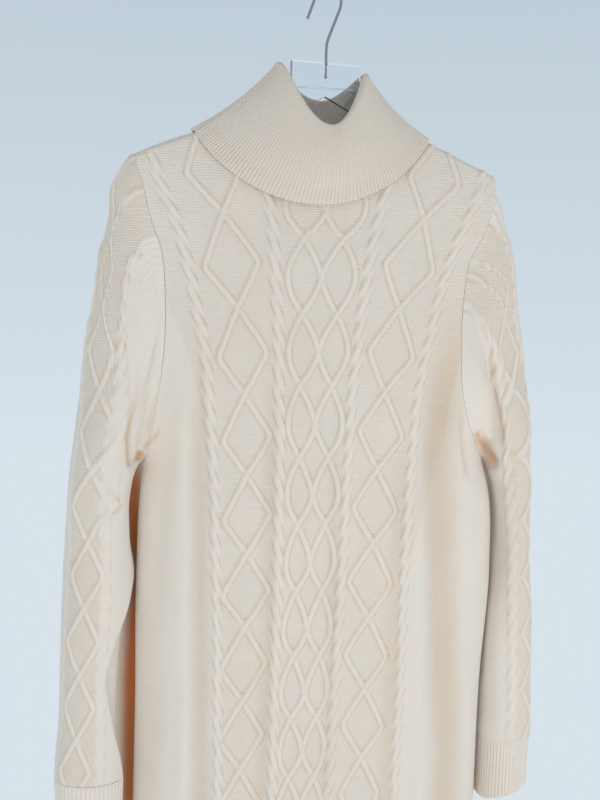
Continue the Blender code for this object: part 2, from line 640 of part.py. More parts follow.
def cuff(which, material):
    """A ribbed band below the sleeve: each rib is a raised column of the outer face."""
    top = SLEEVE_END[which]
    ribs = 2 * CUFF_RIBS
    angle = np.arange(ribs) * 2 * np.pi / ribs
    wall = Wall()
    fine, coarse = [], []
    for share in (0.0, 1.0):
        drop = np.full(ribs, top + SEAM + CUFF * share)
        ring = tube_point(which, angle, np.full(ribs, top))
        centre = ring.mean(axis=0)
        ring = centre + (ring - centre) * CUFF_TIGHT
        ring[:, 2] = -drop
        out = ring - centre
        out[:, 2] = 0
        out /= np.linalg.norm(out, axis=1, keepdims=True)
        raised = RIB_RISE * (np.arange(ribs) % 2)
        fine.append(wall.row(ring + out * raised[:, None]))
        coarse.append(wall.row((ring - out * WALL)[::4]))
    picks = list(range(0, ribs, 4))
    for rows in (fine, coarse):
        for above, below in zip(rows, rows[1:]):
            wall.band(above, below, ring=True)
    wall.rim(fine[0], coarse[0], picks, ring=True)
    wall.rim(fine[-1], coarse[-1], picks, ring=True)
    wall.place("cuff_" + which, material)


def hem_band(material):
    """A plain band below the front and back."""
    turn = np.arange(HEM_COLUMNS) * 2 * np.pi / HEM_COLUMNS
    wall = Wall()
    outer, inner = [], []
    for share in (0.0, 1.0):
        drop = np.full(HEM_COLUMNS, BODY_END + SEAM + HEM * share)
        reach = np.where(np.sin(turn) < 0, read(BODY, "left", drop), read(BODY, "right", drop))
        x = reach * np.sin(turn)
        front = body_depth(x, drop, "front")
        back = body_depth(x, drop, "back")
        y = np.where(np.cos(turn) > 0, -front, back) * (np.abs(np.cos(turn)) > 1e-6)
        ring = np.stack([x, y, -drop], -1)
        across = np.roll(ring, -1, axis=0) - np.roll(ring, 1, axis=0)
        out = np.stack([-across[:, 1], across[:, 0], 0 * x], -1)
        out *= np.sign(np.sum(out * (ring - ring.mean(axis=0))))
        out /= np.linalg.norm(out, axis=1, keepdims=True)
        outer.append(wall.row(ring))
        inner.append(wall.row(ring - out * WALL))
    for rows in (outer, inner):
        for above, below in zip(rows, rows[1:]):
            wall.band(above, below, ring=True)
    wall.band(outer[0], inner[0], ring=True)
    wall.band(outer[-1], inner[-1], ring=True)
    wall.place("hem_band", material)


# ---- Collar ------------------------------------------------------------------------------------
def collar_edge(turn):
    """The flap's lower edge: a ring on the body's face, moved out by COLLAR_CLEAR."""
    x = COLLAR_CENTRE + COLLAR_EDGE["half_width"] * np.sin(turn)
    at_side = shoulder(COLLAR_CENTRE + COLLAR_EDGE["half_width"] * np.sign(np.sin(turn)))
    ring = np.zeros((len(turn), 3))
    for side, here in (("front", np.cos(turn) >= 0), ("back", np.cos(turn) < 0)):
        sink = (COLLAR_EDGE[side] - at_side) * np.abs(np.cos(turn)) ** COLLAR_EDGE["power"]
        drop = np.maximum(at_side + sink, top_edge(x, side))
        points, out = body_points(x, drop, side)
        ring[here] = (points + out * COLLAR_CLEAR)[here]
    return ring


def collar_fold(turn):
    """The middle of the fold's roll, and the level direction outwards from it."""
    half = np.where(np.sin(turn) < 0, COLLAR_FOLD["left"], COLLAR_FOLD["right"])
    deep = np.where(np.cos(turn) > 0, COLLAR_FOLD["depth_front"], COLLAR_FOLD["depth_back"])
    low = np.where(np.cos(turn) > 0, COLLAR_FOLD["front"], COLLAR_FOLD["back"])
    x = half * np.sin(turn)
    side = COLLAR_FOLD["side"] + HANGER_LEAN * x
    drop = side + (low - side) * np.abs(np.cos(turn)) ** COLLAR_FOLD["power"]
    out = np.stack([np.sin(turn) / half, -np.cos(turn) / deep, 0 * turn], -1)
    out /= np.linalg.norm(out, axis=1, keepdims=True)
    return np.stack([x, -deep * np.cos(turn), -drop], -1), out


def flap(turn, share):
    """A point of the flap's outer face, a share of the way from its edge up to the fold."""
    edge = collar_edge(turn)
    fold, out = collar_fold(turn)
    top = fold + out * FOLD_RADIUS
    bulge = COLLAR_EDGE["bulge_front"] * np.cos(turn) ** 2
    bulge += COLLAR_EDGE["bulge_side"] * np.sin(turn) ** 2
    lift = (bulge * 4 * share * (1 - share))[:, None] * (out + (0, 0, 0.6))
    return edge * (1 - share) + top * share + lift


def neck_ring(panels):
    """The neckline's ring from the front's middle round by +X: outer, inner, picks, angles."""
    outer, inner, picks, turns, against = [], [], [], [], [0, 0]
    for side, order in (("front", 1), ("back", -1), ("front", 2)):
        panel = panels[side]
        edge = panel["outer"][0]
        columns = [i for i in range(len(edge)) if abs(edge[i, 0]) <= NECK_HALF + 1e-6]
        if side == "back":
            columns = columns[::-1]
            against = [len(outer), len(outer) + len(columns)]
        else:
            columns = [i for i in columns if (edge[i, 0] >= 0) == (order == 1)]
        for i in columns:
            inwards = -0.3 if side == "back" else 0.3
            lean = np.array([-edge[i, 0] / NECK_HALF, inwards, 0.8])
            gap = NECK_GAP * lean / np.linalg.norm(lean)
            if i in panel["columns_in"]:
                picks.append(len(outer))
                inner.append(panel["inner"][0, i] + gap)
            outer.append(edge[i] + gap)
            turns.append(math.atan2(edge[i, 0] / NECK_HALF, -edge[i, 1] / 0.03) % (2 * math.pi))
    return np.array(outer), np.array(inner), picks, np.array(turns), against


def collar(panels, material):
    """The turned-down collar: flap, fold and stand in one wall, with ribs raised on the flap."""
    columns = 2 * COLLAR_RIBS
    step = columns // COLLAR_COLUMNS
    fine_turn = np.arange(columns) * 2 * np.pi / columns
    turn = fine_turn[::step]
    ribs = RIB_RISE * (np.arange(columns) % 2)
    fold, out = collar_fold(turn)
    outer_n, inner_n, picks, turns, against = neck_ring(panels)
    wall = Wall()

    fine = []
    for share, rise in ((0.0, 1.0), (COLLAR_WELT, 1.0), (0.55, 0.6)):
        points = flap(fine_turn, share)
        away = points - points.mean(axis=0)
        away[:, 2] = 0
        away /= np.linalg.norm(away, axis=1, keepdims=True)
        fine.append(wall.row(points + away * (ribs * rise)[:, None]))
    face = [flap(turn, 0.78), flap(turn, 0.93)]
    lining = [flap(turn, share) for share in (0.0, 0.3, 0.6, 0.9)]
    under = outward(np.array(lining + [fold + out * FOLD_RADIUS]))[:-1]
    lining = [points - way * WALL for points, way in zip(lining, under)]
    for tilt in (10, 50, 90, 130, 170):
        angle = math.radians(tilt)
        way = out * math.cos(angle) + np.array([0, 0, math.sin(angle)])
        face.append(fold + way * FOLD_RADIUS)
        if tilt in (10, 90, 170):
            lining.append(fold + way * (FOLD_RADIUS - WALL))
    face_rows = [wall.row(points) for points in face]
    lining_rows = [wall.row(points) for points in lining]
    neck_face, neck_lining = wall.row(inner_n), wall.row(outer_n)

    for above, below in zip(fine, fine[1:]):
        wall.band(above, below, ring=True)
    coarse_picks = list(range(0, columns, step))
    wall.rim(fine[-1], face_rows[0], coarse_picks, ring=True)
    wall.rim(fine[0], lining_rows[0], coarse_picks, ring=True)
    for rows in (face_rows, lining_rows):
        for above, below in zip(rows, rows[1:]):
            wall.band(above, below, ring=True)
    at = turn / (2 * np.pi)
    wall.stitch(neck_face, face_rows[-1], turns[picks] / (2 * np.pi), at)
    wall.stitch(neck_lining, lining_rows[-1], turns / (2 * np.pi), at)
    wall.rim(neck_lining, neck_face, picks, ring=True, mirrored=against)
    wall.place("collar", material)


# ---- Hanger ------------------------------------------------------------------------------------
def plate(name, outline, thick):
    """A flat outline in the XZ plane, given its thickness, as a mesh object."""
    curve = bpy.data.curves.new(name, "CURVE")
    curve.dimensions = "2D"
    curve.fill_mode = "BOTH"
    curve.extrude = thick / 2
    spline = curve.splines.new("POLY")
    spline.points.add(len(outline) - 1)
    for point, (x, z) in zip(spline.points, outline):
        point.co = (x, z, 0, 1)
    spline.use_cyclic_u = True
    thing = bpy.data.objects.new(name, curve)
    thing.rotation_euler = (math.pi / 2, 0, 0)
    DRESS.objects.link(thing)
    bpy.context.view_layer.update()
    evaluated = thing.evaluated_get(bpy.context.evaluated_depsgraph_get())
    mesh = bpy.data.meshes.new_from_object(evaluated)
    mesh.transform(thing.matrix_world)
    bpy.data.objects.remove(thing)
    work = bmesh.new()
    work.from_mesh(mesh)
    bmesh.ops.remove_doubles(work, verts=work.verts, dist=1e-5)
    bmesh.ops.recalc_face_normals(work, faces=work.faces)
    work.to_mesh(mesh)
    work.free()
    solid = bpy.data.objects.new(name, mesh)
    DRESS.objects.link(solid)
    return solid


def hanger(material):
    """Two sloping arms and a thicker block in one clear piece, with a bore for the hook."""
    xs = np.array([BLOCK_HALF, 0.055, 0.075, 0.095, 0.12, 0.15, ARM_END])
    both = np.r_[-xs[::-1], xs]
    upper = shoulder(both) + ARM_CLEAR + ARM_DIP * mound(np.abs(both) - NECK_HALF, 0.03)
    tip, under = 0.004, np.array([ARM_END - 0.003, NECK_HALF, 0.03])
    lower = np.interp(under, *ARM_LOWER)
    arms = [(x, -drop) for x, drop in zip(both[:len(xs)], upper[:len(xs)])]
    arms += [(-BLOCK_HALF, -BLOCK_BOTTOM + tip), (BLOCK_HALF, -BLOCK_BOTTOM + tip)]
    arms += [(x, -drop) for x, drop in zip(both[len(xs):], upper[len(xs):])]
    arms += [(ARM_END + tip, -upper[-1] - 2 * tip)]
    arms += [(x, -drop - HANGER_LEAN * x) for x, drop in zip(under, lower)]
    arms += [(0, -ARM_NOTCH)]
    arms += [(-x, -drop + HANGER_LEAN * x) for x, drop in zip(under[::-1], lower[::-1])]
    arms += [(-ARM_END - tip, -upper[0] - 2 * tip)]
    lean = HANGER_LEAN * BLOCK_HALF
    block = [(-BLOCK_HALF, -BLOCK_TOP + lean), (BLOCK_HALF, -BLOCK_TOP - lean),
             (BLOCK_HALF, -BLOCK_BOTTOM), (-BLOCK_HALF, -BLOCK_BOTTOM)]
    solid = plate("hanger", arms, ARM_THICK)
    upper_block = plate("hanger_block", block, BLOCK_THICK)
    bpy.ops.mesh.primitive_cylinder_add(vertices=16, radius=WIRE + SEAM, depth=0.04,
                                        location=(0, 0, -STEM_END - SEAM + 0.02))
    bore = bpy.context.object
    for cutter, operation in ((upper_block, "UNION"), (bore, "DIFFERENCE")):
        cutter.hide_render = True
        cutter.display_type = "WIRE"
        for home in list(cutter.users_collection):
            home.objects.unlink(cutter)
        CUTTERS.objects.link(cutter)
        change = solid.modifiers.new(operation, "BOOLEAN")
        change.operation = operation
        change.object = cutter
    solid.data.materials.append(material)


def hook(material):
    """Chrome wire: a stem, a slant to the loop, three fifths of a circle and a straight tip."""
    centre = WIRE - LOOP
    angles = np.radians(np.linspace(-25, 158, 14))
    path = [(0.0, -STEM_END), (0.0, -STEM_TOP - 0.003), (0.001, -STEM_TOP + 0.002)]
    path += [(LOOP_SHIFT + LOOP * math.cos(a), centre + LOOP * math.sin(a)) for a in angles]
    last = angles[-1]
    path.append((path[-1][0] - 0.029 * math.sin(last), path[-1][1] + 0.029 * math.cos(last)))
    curve = bpy.data.curves.new("hook", "CURVE")
    curve.dimensions = "3D"
    curve.bevel_depth = WIRE
    curve.bevel_resolution = 2
    curve.use_fill_caps = True
    curve.render_resolution_u = 0
    spline = curve.splines.new("POLY")
    spline.points.add(len(path) - 1)
    for point, (across, up) in zip(spline.points, path):
        point.co = (across * math.cos(HOOK_TURN), across * math.sin(HOOK_TURN), up, 1)
    thing = bpy.data.objects.new("hook", curve)
    thing.data.materials.append(material)
    DRESS.objects.link(thing)


# ---- The whole ---------------------------------------------------------------------------------
def finish(name, colour, roughness, metallic=0.0, clear=0.0):
    """A plain material of the piece's colour."""
    material = bpy.data.materials.new(name)
    material.use_nodes = True
    shader = material.node_tree.nodes["Principled BSDF"]
    shader.inputs["Base Color"].default_value = (*colour, 1)
    shader.inputs["Roughness"].default_value = roughness
    shader.inputs["Metallic"].default_value = metallic
    shader.inputs["Transmission Weight"].default_value = clear
    return material


def dress():
    """The two body panels, the sleeves with their cuffs, the hem band and the collar."""
    knit = finish("ivory_knit", (0.76, 0.68, 0.58), 0.95)
    ribbed = finish("ivory_rib", (0.76, 0.67, 0.56), 0.95)
    rows = front_rows()
    count = len(front_columns(0.3, 0))
    x, drop = panel_grid("front", rows, front_columns, count)
    panels = {"front": panel_wall("front", "front", x, drop, front_relief(x, drop),
                                  row_picks(drop, 3), with_corners(x, 2), knit)}
    armpit_row = rows.index(CROSSINGS[4])
    back_rows = rows[:armpit_row:2] + rows[armpit_row::5]
    back_rows = back_rows + ([] if back_rows[-1] == BODY_END else [BODY_END])
    x, drop = panel_grid("back", back_rows, back_columns, BACK_COLUMNS)
    panels["back"] = panel_wall("back", "back", x, drop, np.zeros_like(x),
                                row_picks(drop, 2), list(range(BACK_COLUMNS)), knit)
    for which in SLEEVES:
        sleeve(which, panels, knit)
        cuff(which, ribbed)
    hem_band(ribbed)
    collar(panels, ribbed)


def back_columns(drop, _row):
    """X of every column of the back, closer together towards the neck's corners and sides."""
    neck = BACK_NECK[-1]
    left, right = float(read(BODY, "left", drop)), float(read(BODY, "right", drop))
    row = [-neck - (left - neck) * share for share in SIDE_SHARES[::-1]]
    row += [-value for value in BACK_NECK[:0:-1]] + list(BACK_NECK)
    return np.array(row + [neck + (right - neck) * share for share in SIDE_SHARES])


for thing in list(bpy.data.objects):
    bpy.data.objects.remove(thing)
DRESS = bpy.data.collections.new("sweater_dress")
CUTTERS = bpy.data.collections.new("cutters")
bpy.context.scene.collection.children.link(DRESS)
bpy.context.scene.collection.children.link(CUTTERS)
dress()
hanger(finish("clear_acrylic", (0.93, 0.96, 0.98), 0.06, clear=1.0))
hook(finish("chrome_wire", (0.72, 0.74, 0.77), 0.15, metallic=1.0))
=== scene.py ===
"""The looks of a cable-knit turtleneck sweater dress on a clear hanger.

Metres, +Z up. The origin is the inside top of the hanger's hook, and a drop is a distance below
it. Each cloth piece is a thin shell: a grid of points worked out from two parameters, with its
cables and ribs raised in it, over a coarser inner face one wall's thickness behind.
"""
import math

import bpy
import numpy as np
from mathutils import Matrix


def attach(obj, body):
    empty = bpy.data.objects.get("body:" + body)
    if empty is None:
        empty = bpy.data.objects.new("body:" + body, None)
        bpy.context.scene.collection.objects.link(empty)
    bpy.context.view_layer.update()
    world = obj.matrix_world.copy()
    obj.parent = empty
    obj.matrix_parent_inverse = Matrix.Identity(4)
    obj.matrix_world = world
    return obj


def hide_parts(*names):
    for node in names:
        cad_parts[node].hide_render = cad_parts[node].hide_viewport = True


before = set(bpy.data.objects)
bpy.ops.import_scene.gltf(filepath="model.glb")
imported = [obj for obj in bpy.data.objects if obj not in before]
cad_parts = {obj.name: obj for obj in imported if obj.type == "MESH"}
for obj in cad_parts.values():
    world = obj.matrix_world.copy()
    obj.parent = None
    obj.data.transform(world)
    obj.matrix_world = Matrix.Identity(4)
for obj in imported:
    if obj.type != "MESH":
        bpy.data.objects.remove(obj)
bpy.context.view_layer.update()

# ---- The garment's and the hanger's sizes, which the solids have or nearly have -----------------
WALL = 0.0022            # thickness of the knitted cloth
SEAM = 0.0003            # gap that two sewn pieces keep
ARMPIT = 0.4645          # drop of the armpits
BODY_END = 1.055         # drop of the front's and back's lower edge
HEM = 0.045              # height of the hem band
SHOULDER_TOP = 0.0975    # drop that the two shoulder lines would reach at the centre
SHOULDER_SLOPE = 0.42    # how far either line falls for each unit of width
HANGER_LEAN = 0.025      # the hanger's right end hangs lower by this share
SHOULDER_LIFT = (-0.150, 0.046, 0.0035)  # where the left shoulder stands up, how wide and high
SHOULDER_ROLL = 0.007    # radius of the cloth where it passes over the hanger's arm
NECK_HALF = 0.075        # half the width of the neckline
NECK_LIP = 0.050         # the front's edge is free of the hanger inside this half width
NECK_DROP = {"front": 0.168, "back": 0.142}   # drops of the neckline's middle
NECK_POWER = 1.2         # how pointed its dip is; 1 is a parabola
SECTION_POWER = 2.6      # how square a panel's section is; 2 is an ellipse


def table(names, *rows):
    """Columns of numbers under their names, from rows listed downwards."""
    return dict(zip(names.split(), np.array(rows, float).T))


# Half widths to the seams on either side, how far round the section those seams lie, the
# section's depth in front and behind, and where the pattern's middle line runs.
BODY = table(
    "drop left right share front back axis",
    (0.120, 0.183, 0.169, 0.55, 0.012, 0.009, -0.003),
    (0.175, 0.182, 0.169, 0.58, 0.030, 0.020, -0.003),
    (0.200, 0.175, 0.169, 0.66, 0.035, 0.026, -0.003),
    (0.225, 0.1690, 0.1620, 0.70, 0.038, 0.030, -0.004),
    (0.260, 0.1575, 0.1450, 0.73, 0.042, 0.033, -0.006),
    (0.300, 0.1540, 0.1400, 0.74, 0.045, 0.036, -0.008),
    (0.350, 0.1545, 0.1410, 0.76, 0.048, 0.039, -0.009),
    (0.390, 0.1590, 0.1440, 0.79, 0.050, 0.041, -0.011),
    (0.420, 0.1630, 0.1520, 0.85, 0.052, 0.043, -0.011),
    (0.445, 0.1675, 0.1650, 0.94, 0.053, 0.044, -0.011),
    (0.4645, 0.1720, 0.1785, 1.00, 0.054, 0.045, -0.012),
    (0.490, 0.1745, 0.1860, 1.00, 0.055, 0.046, -0.012),
    (0.575, 0.178, 0.193, 1.00, 0.056, 0.047, -0.013),
    (0.700, 0.178, 0.188, 1.00, 0.057, 0.048, -0.015),
    (0.850, 0.180, 0.188, 1.00, 0.058, 0.050, -0.017),
    (1.100, 0.184, 0.190, 1.00, 0.060, 0.052, -0.017))

# Where the cables stand beside the middle line: the outer ropes, the diamonds' centre and half
# width, the inner ropes, the half width of the centre lattice, and how far the purl ground goes
# on beyond either outer rope.
PATTERN = table(
    "drop outer_left outer_right diamond diamond_half inner lattice_half ground_left ground_right",
    (0.120, 0.1720, 0.1700, 0.1220, 0.0250, 0.0720, 0.0480, 0.034, 0.034),
    (0.190, 0.1590, 0.1560, 0.1060, 0.0250, 0.0590, 0.0440, 0.034, 0.034),
    (0.235, 0.1390, 0.1375, 0.0945, 0.0250, 0.0500, 0.0350, 0.034, 0.036),
    (0.276, 0.1256, 0.1250, 0.0848, 0.0250, 0.0450, 0.0330, 0.032, 0.040),
    (0.320, 0.1150, 0.1155, 0.0770, 0.0230, 0.0405, 0.0300, 0.026, 0.042),
    (0.370, 0.1050, 0.1068, 0.0705, 0.0222, 0.0370, 0.0280, 0.014, 0.042),
    (0.440, 0.0982, 0.1000, 0.0652, 0.0219, 0.0340, 0.0262, 0.008, 0.038),
    (0.550, 0.0915, 0.0971, 0.0620, 0.0219, 0.0320, 0.0243, 0.006, 0.008),
    (0.700, 0.0848, 0.0990, 0.0612, 0.0208, 0.0300, 0.0236, 0.006, 0.006),
    (0.800, 0.0820, 0.0990, 0.0614, 0.0200, 0.0285, 0.0230, 0.006, 0.006),
    (1.100, 0.0820, 0.0990, 0.0614, 0.0200, 0.0285, 0.0230, 0.006, 0.006))

# Drops at which the diamonds' strands cross, and those of the lattice: by turns half way to its
# edges and on the middle line.
DIAMONDS = {
    "left": np.array([0.1370, 0.2217, 0.3097, 0.3920, 0.4689, 0.5454, 0.6182, 0.6934, 0.7642,
                      0.8387, 0.9130, 0.9875, 1.0620, 1.1370]),
    "right": np.array([0.1370, 0.2205, 0.3076, 0.3885, 0.4638, 0.5371, 0.6122, 0.6860, 0.7581,
                       0.8310, 0.9040, 0.9770, 1.0500, 1.1230])}
LATTICE = np.array([0.1130, 0.1480, 0.1800, 0.2175, 0.2430, 0.2800, 0.3145, 0.3505, 0.3829,
                    0.4200, 0.4517, 0.4885, 0.5168, 0.5555, 0.5836, 0.6225, 0.6488, 0.6870,
                    0.7121, 0.7470, 0.7749, 0.8095, 0.8375, 0.8720, 0.9000, 0.9345, 0.9625,
                    0.9970, 1.0250, 1.0595, 1.0875])
LATTICE_SHARE = 0.56     # of its half width, at which the outer crossings stand
OUTER_LEAN = 0.08        # the diamonds' outer corners lie this share of a crossing's space low

# Long soft folds of the body: where each stands beside the middle line at the drops of
# FOLD_DROPS, its half width, its depth (a trough is negative), and the drops at which it begins
# and is full.
FOLD_DROPS = (0.30, 0.45, 0.60, 0.76)
FRONT_FOLDS = (
    ((-0.140, -0.139, -0.145, -0.152), 0.011, -0.0036, 0.34, 0.48),
    ((-0.126, -0.122, -0.118, -0.116), 0.008, 0.0024, 0.34, 0.50),
    ((-0.116, -0.111, -0.107, -0.101), 0.011, -0.0066, 0.32, 0.46),
    ((-0.108, -0.099, -0.094, -0.087), 0.008, 0.0024, 0.30, 0.46),
    ((-0.050, -0.044, -0.041, -0.041), 0.007, -0.0036, 0.32, 0.48),
    ((-0.036, -0.032, -0.029, -0.029), 0.009, 0.0018, 0.28, 0.44),
    ((0.014, 0.017, 0.0235, 0.0245), 0.006, -0.0030, 0.40, 0.56),
    ((0.040, 0.034, 0.033, 0.034), 0.010, 0.0022, 0.28, 0.44),
    ((0.086, 0.086, 0.087, 0.088), 0.007, -0.0036, 0.36, 0.52),
    ((0.118, 0.107, 0.114, 0.126), 0.010, 0.0042, 0.34, 0.50),
    ((0.144, 0.129, 0.141, 0.160), 0.019, -0.0100, 0.26, 0.42),
    ((0.172, 0.160, 0.170, 0.186), 0.011, 0.0014, 0.40, 0.56))
BACK_FOLDS = (
    ((-0.140,) * 4, 0.022, 0.0030, 0.34, 0.52),
    ((-0.090,) * 4, 0.026, -0.0060, 0.28, 0.48),
    ((-0.035,) * 4, 0.028, 0.0035, 0.24, 0.44),
    ((0.025,) * 4, 0.024, -0.0050, 0.30, 0.54),
    ((0.080,) * 4, 0.028, 0.0040, 0.26, 0.46),
    ((0.130,) * 4, 0.024, -0.0060, 0.32, 0.52))
FOLDS = {"front": FRONT_FOLDS, "back": BACK_FOLDS}

# Each sleeve as a tube: its outer side, middle and inner side from the centre plane, its depth,
# how far it tucks in behind the body, and the angles round it of its lattice and front rope,
# with 90 degrees in front.
SLEEVES = {
    "left": table(
        "drop outer middle inner depth tuck lattice rope",
        (0.175, 0.1985, 0.176, 0.171, 0.014, 0, 20, 62),
        (0.190, 0.2035, 0.173, 0.167, 0.022, 0, 22, 61),
        (0.200, 0.2060, 0.170, 0.164, 0.026, 0, 24, 60),
        (0.225, 0.2060, 0.165, 0.160, 0.029, 0, 27, 59),
        (0.250, 0.2115, 0.161, 0.156, 0.032, 0, 30, 58),
        (0.300, 0.2200, 0.160, 0.155, 0.036, 0, 33, 58),
        (0.360, 0.2295, 0.167, 0.160, 0.038, 0, 42, 64),
        (0.420, 0.236, 0.187, 0.168, 0.040, 0, 54, 78),
        (0.4645, 0.2420, 0.204, 0.1795, 0.040, 0.018, 64, 90),
        (0.500, 0.2450, 0.211, 0.184, 0.038, 0.030, 67, 96),
        (0.540, 0.2470, 0.2130, 0.1830, 0.037, 0.034, 70, 99),
        (0.580, 0.2490, 0.2145, 0.1800, 0.037, 0.034, 69, 101),
        (0.620, 0.2505, 0.2165, 0.1830, 0.036, 0.036, 68, 103),
        (0.670, 0.2520, 0.2195, 0.1865, 0.035, 0.038, 66, 103),
        (0.720, 0.253, 0.2205, 0.1880, 0.035, 0.036, 64, 105),
        (0.760, 0.2560, 0.2215, 0.1870, 0.035, 0.032, 62, 106),
        (0.860, 0.2620, 0.2225, 0.1870, 0.034, 0.028, 60, 107)),
    "right": table(
        "drop outer middle inner depth tuck lattice rope",
        (0.175, 0.1690, 0.164, 0.160, 0.010, 0, 60, 92),
        (0.190, 0.1795, 0.162, 0.158, 0.018, 0, 62, 94),
        (0.200, 0.1855, 0.160, 0.156, 0.024, 0, 64, 96),
        (0.225, 0.1925, 0.158, 0.153, 0.029, 0, 66, 98),
        (0.250, 0.2010, 0.155, 0.148, 0.033, 0, 66, 100),
        (0.290, 0.2080, 0.153, 0.145, 0.037, 0, 60, 88),
        (0.320, 0.2120, 0.155, 0.146, 0.040, 0, 60, 84),
        (0.346, 0.2167, 0.160, 0.150, 0.041, 0, 62, 78),
        (0.371, 0.2195, 0.167, 0.156, 0.042, 0, 64, 80),
        (0.396, 0.2232, 0.180, 0.164, 0.043, 0, 70, 93),
        (0.4225, 0.2263, 0.194, 0.173, 0.043, 0, 76, 109),
        (0.4495, 0.2264, 0.202, 0.181, 0.041, 0, 83, 111),
        (0.476, 0.2272, 0.208, 0.1870, 0.039, 0.012, 87, 111),
        (0.504, 0.2288, 0.2120, 0.1915, 0.037, 0.018, 89, 110),
        (0.524, 0.2298, 0.2140, 0.1938, 0.036, 0.020, 89, 110),
        (0.5435, 0.2313, 0.2150, 0.1950, 0.035, 0.020, 87, 109),
        (0.570, 0.2327, 0.2160, 0.1958, 0.034, 0.020, 84, 107),
        (0.5955, 0.2361, 0.2165, 0.1948, 0.033, 0.020, 81, 105),
        (0.6165, 0.2383, 0.2175, 0.1938, 0.033, 0.020, 80, 103),
        (0.650, 0.2405, 0.2185, 0.1922, 0.032, 0.018, 78, 101),
        (0.697, 0.2433, 0.2195, 0.1908, 0.032, 0.016, 77, 99),
        (0.7555, 0.2460, 0.2205, 0.1908, 0.032, 0.014, 73, 100),
        (0.840, 0.2490, 0.2220, 0.1915, 0.032, 0.012, 70, 100))}
SLEEVE_END = {"left": 0.782, "right": 0.764}   # drops at which the cuffs are sewn on
# Drops at which the strands of the sleeves' lattices cross.
SLEEVE_CROSSINGS = {
    "left": np.array([0.150, 0.240, 0.312, 0.391, 0.467, 0.536, 0.6005, 0.669, 0.734, 0.800]),
    "right": np.array([0.120, 0.185, 0.249, 0.313, 0.3815, 0.453, 0.5215, 0.582, 0.6435, 0.7055,
                       0.770, 0.830])}
SLEEVE_RADIUS = 0.036            # mean radius of the sleeves, for their dents and stitches
# Half widths of a sleeve's lattice behind its middle (-1) and before it (1), first above the
# drops of NARROWS and then below them.
SLEEVE_LATTICE = {"left": {-1: (0.0150, 0.0150), 1: (0.0150, 0.0150)},
                  "right": {-1: (0.0157, 0.0145), 1: (0.0157, 0.0091)}}
NARROWS = (0.28, 0.42)
STRAND_FADES = {"left": 0.0, "right": 1.0}   # share of its height that the front strand loses
STRAND_FADES_AT = (0.38, 0.46)               # between these drops
ROPE_APART = {-1: 0.0230, 1: 0.0105}         # least distance from the lattice's middle to a rope
SLEEVE_ROOT = 0.08               # share of the sleeve in which the armhole's ring becomes a tube
TUCK_ANGLE = 238                 # the middle of what tucks in behind the body
TUCK_HALF = 28                   # and its half width, in degrees too
# Painted deep shade on a sleeve beside the body, where only light through the cloth reaches it:
# the middle angle, its half width and how strongly.
SHADED = {"left": (206, 14, 1.2), "right": (210, 10, 0.6)}
# Dents of the sleeves: the angle and half width round the sleeve, the drop of the centre and
# half the length, and the depth.
SLEEVE_DENTS = {
    "left": ((262, 34, 0.600, 0.150, 0.0060), (200, 26, 0.520, 0.060, 0.0060)),
    "right": ((158, 26, 0.560, 0.090, 0.0050), (268, 34, 0.620, 0.150, 0.0060),
              (205, 24, 0.520, 0.060, 0.0050))}
# The left sleeve laps over itself: beyond this angle its front steps back, by LAP_DEEP.
LAP = table("drop angle", (0.560, 188), (0.590, 160), (0.620, 138), (0.650, 118), (0.675, 111),
            (0.700, 117), (0.730, 130), (0.765, 148), (0.800, 165))
LAP_DEEP = 0.010
LAP_BEGINS = (0.565, 0.640)      # drops between which it sets in
LAP_EDGE = 15                    # degrees round which it turns in
LAP_END = (178, 205)             # the angles at which the back layer comes out again
# Creases and lips about the armpits: the places (across, drop) of each one's path, its half
# width, its height (a crease is negative), its darkness of painted shade, and the shares of its
# path over which it grows and fades.
MARKS = (
    (((-0.1776, 0.3620), (-0.1811, 0.3883), (-0.1858, 0.4168), (-0.1872, 0.4309),
      (-0.1861, 0.4515), (-0.1839, 0.4650)), 0.0030, -0.0036, 0.45, (0.55, 0.05)),
    (((-0.1745, 0.4500), (-0.1770, 0.4620)), 0.0038, -0.0022, 0.80, (0.30, 0.05)),
    (((-0.1590, 0.4225), (-0.1605, 0.4326), (-0.1669, 0.4419), (-0.1728, 0.4488)),
     0.0018, -0.0018, 0.40, (0.30, 0.10)),
    (((0.1660, 0.3389), (0.1704, 0.3652), (0.1754, 0.3948), (0.1838, 0.4222),
      (0.1898, 0.4496)), 0.0032, -0.0028, 0.32, (0.25, 0.15)),
    (((0.1609, 0.4284), (0.1667, 0.4378), (0.1762, 0.4489), (0.1851, 0.4625),
      (0.1876, 0.4774)), 0.0046, -0.0044, 0.68, (0.15, 0.30)),
    (((0.1574, 0.4191), (0.1684, 0.4251), (0.1823, 0.4399), (0.1894, 0.4572),
      (0.1897, 0.4712), (0.1901, 0.4899)), 0.0036, 0.0030, 0.00, (0.25, 0.20)),
    (((0.1417, 0.4009), (0.1442, 0.4282), (0.1509, 0.4593), (0.1575, 0.4877)),
     0.0034, -0.0026, 0.24, (0.30, 0.30)))
MARK_PAINTED_SHADE = 2.4                  # painted shade at a darkness of 1 among them, against a groove's
MARK_PAINTED_DEEP_SHADE = 0.6                # share of painted deep shade, for light only through the cloth, at a darkness of 1
SLEEVE_SQUARE = 0.3              # how much squarer than an ellipse a sleeve is
SLEEVE_SQUARE_AT = (0.42, 0.50)  # from between these drops down
CUFF = 0.060                     # height of a cuff
CUFF_RIBS = 48
CUFF_WAIST = 0.03                # share by which it is drawn in at its middle
CUFF_TIGHT = {"left": 1.0, "right": 0.96}    # a cuff's width against its sleeve's
CUFF_SLANT = {"left": 0.0, "right": 0.010}   # and how far its end rises to its outer side

COLLAR_CENTRE = -0.0135          # how far right of the centre plane the flap's edge stands
COLLAR_LEAN = 0.065              # the fold falls to its right side by this share
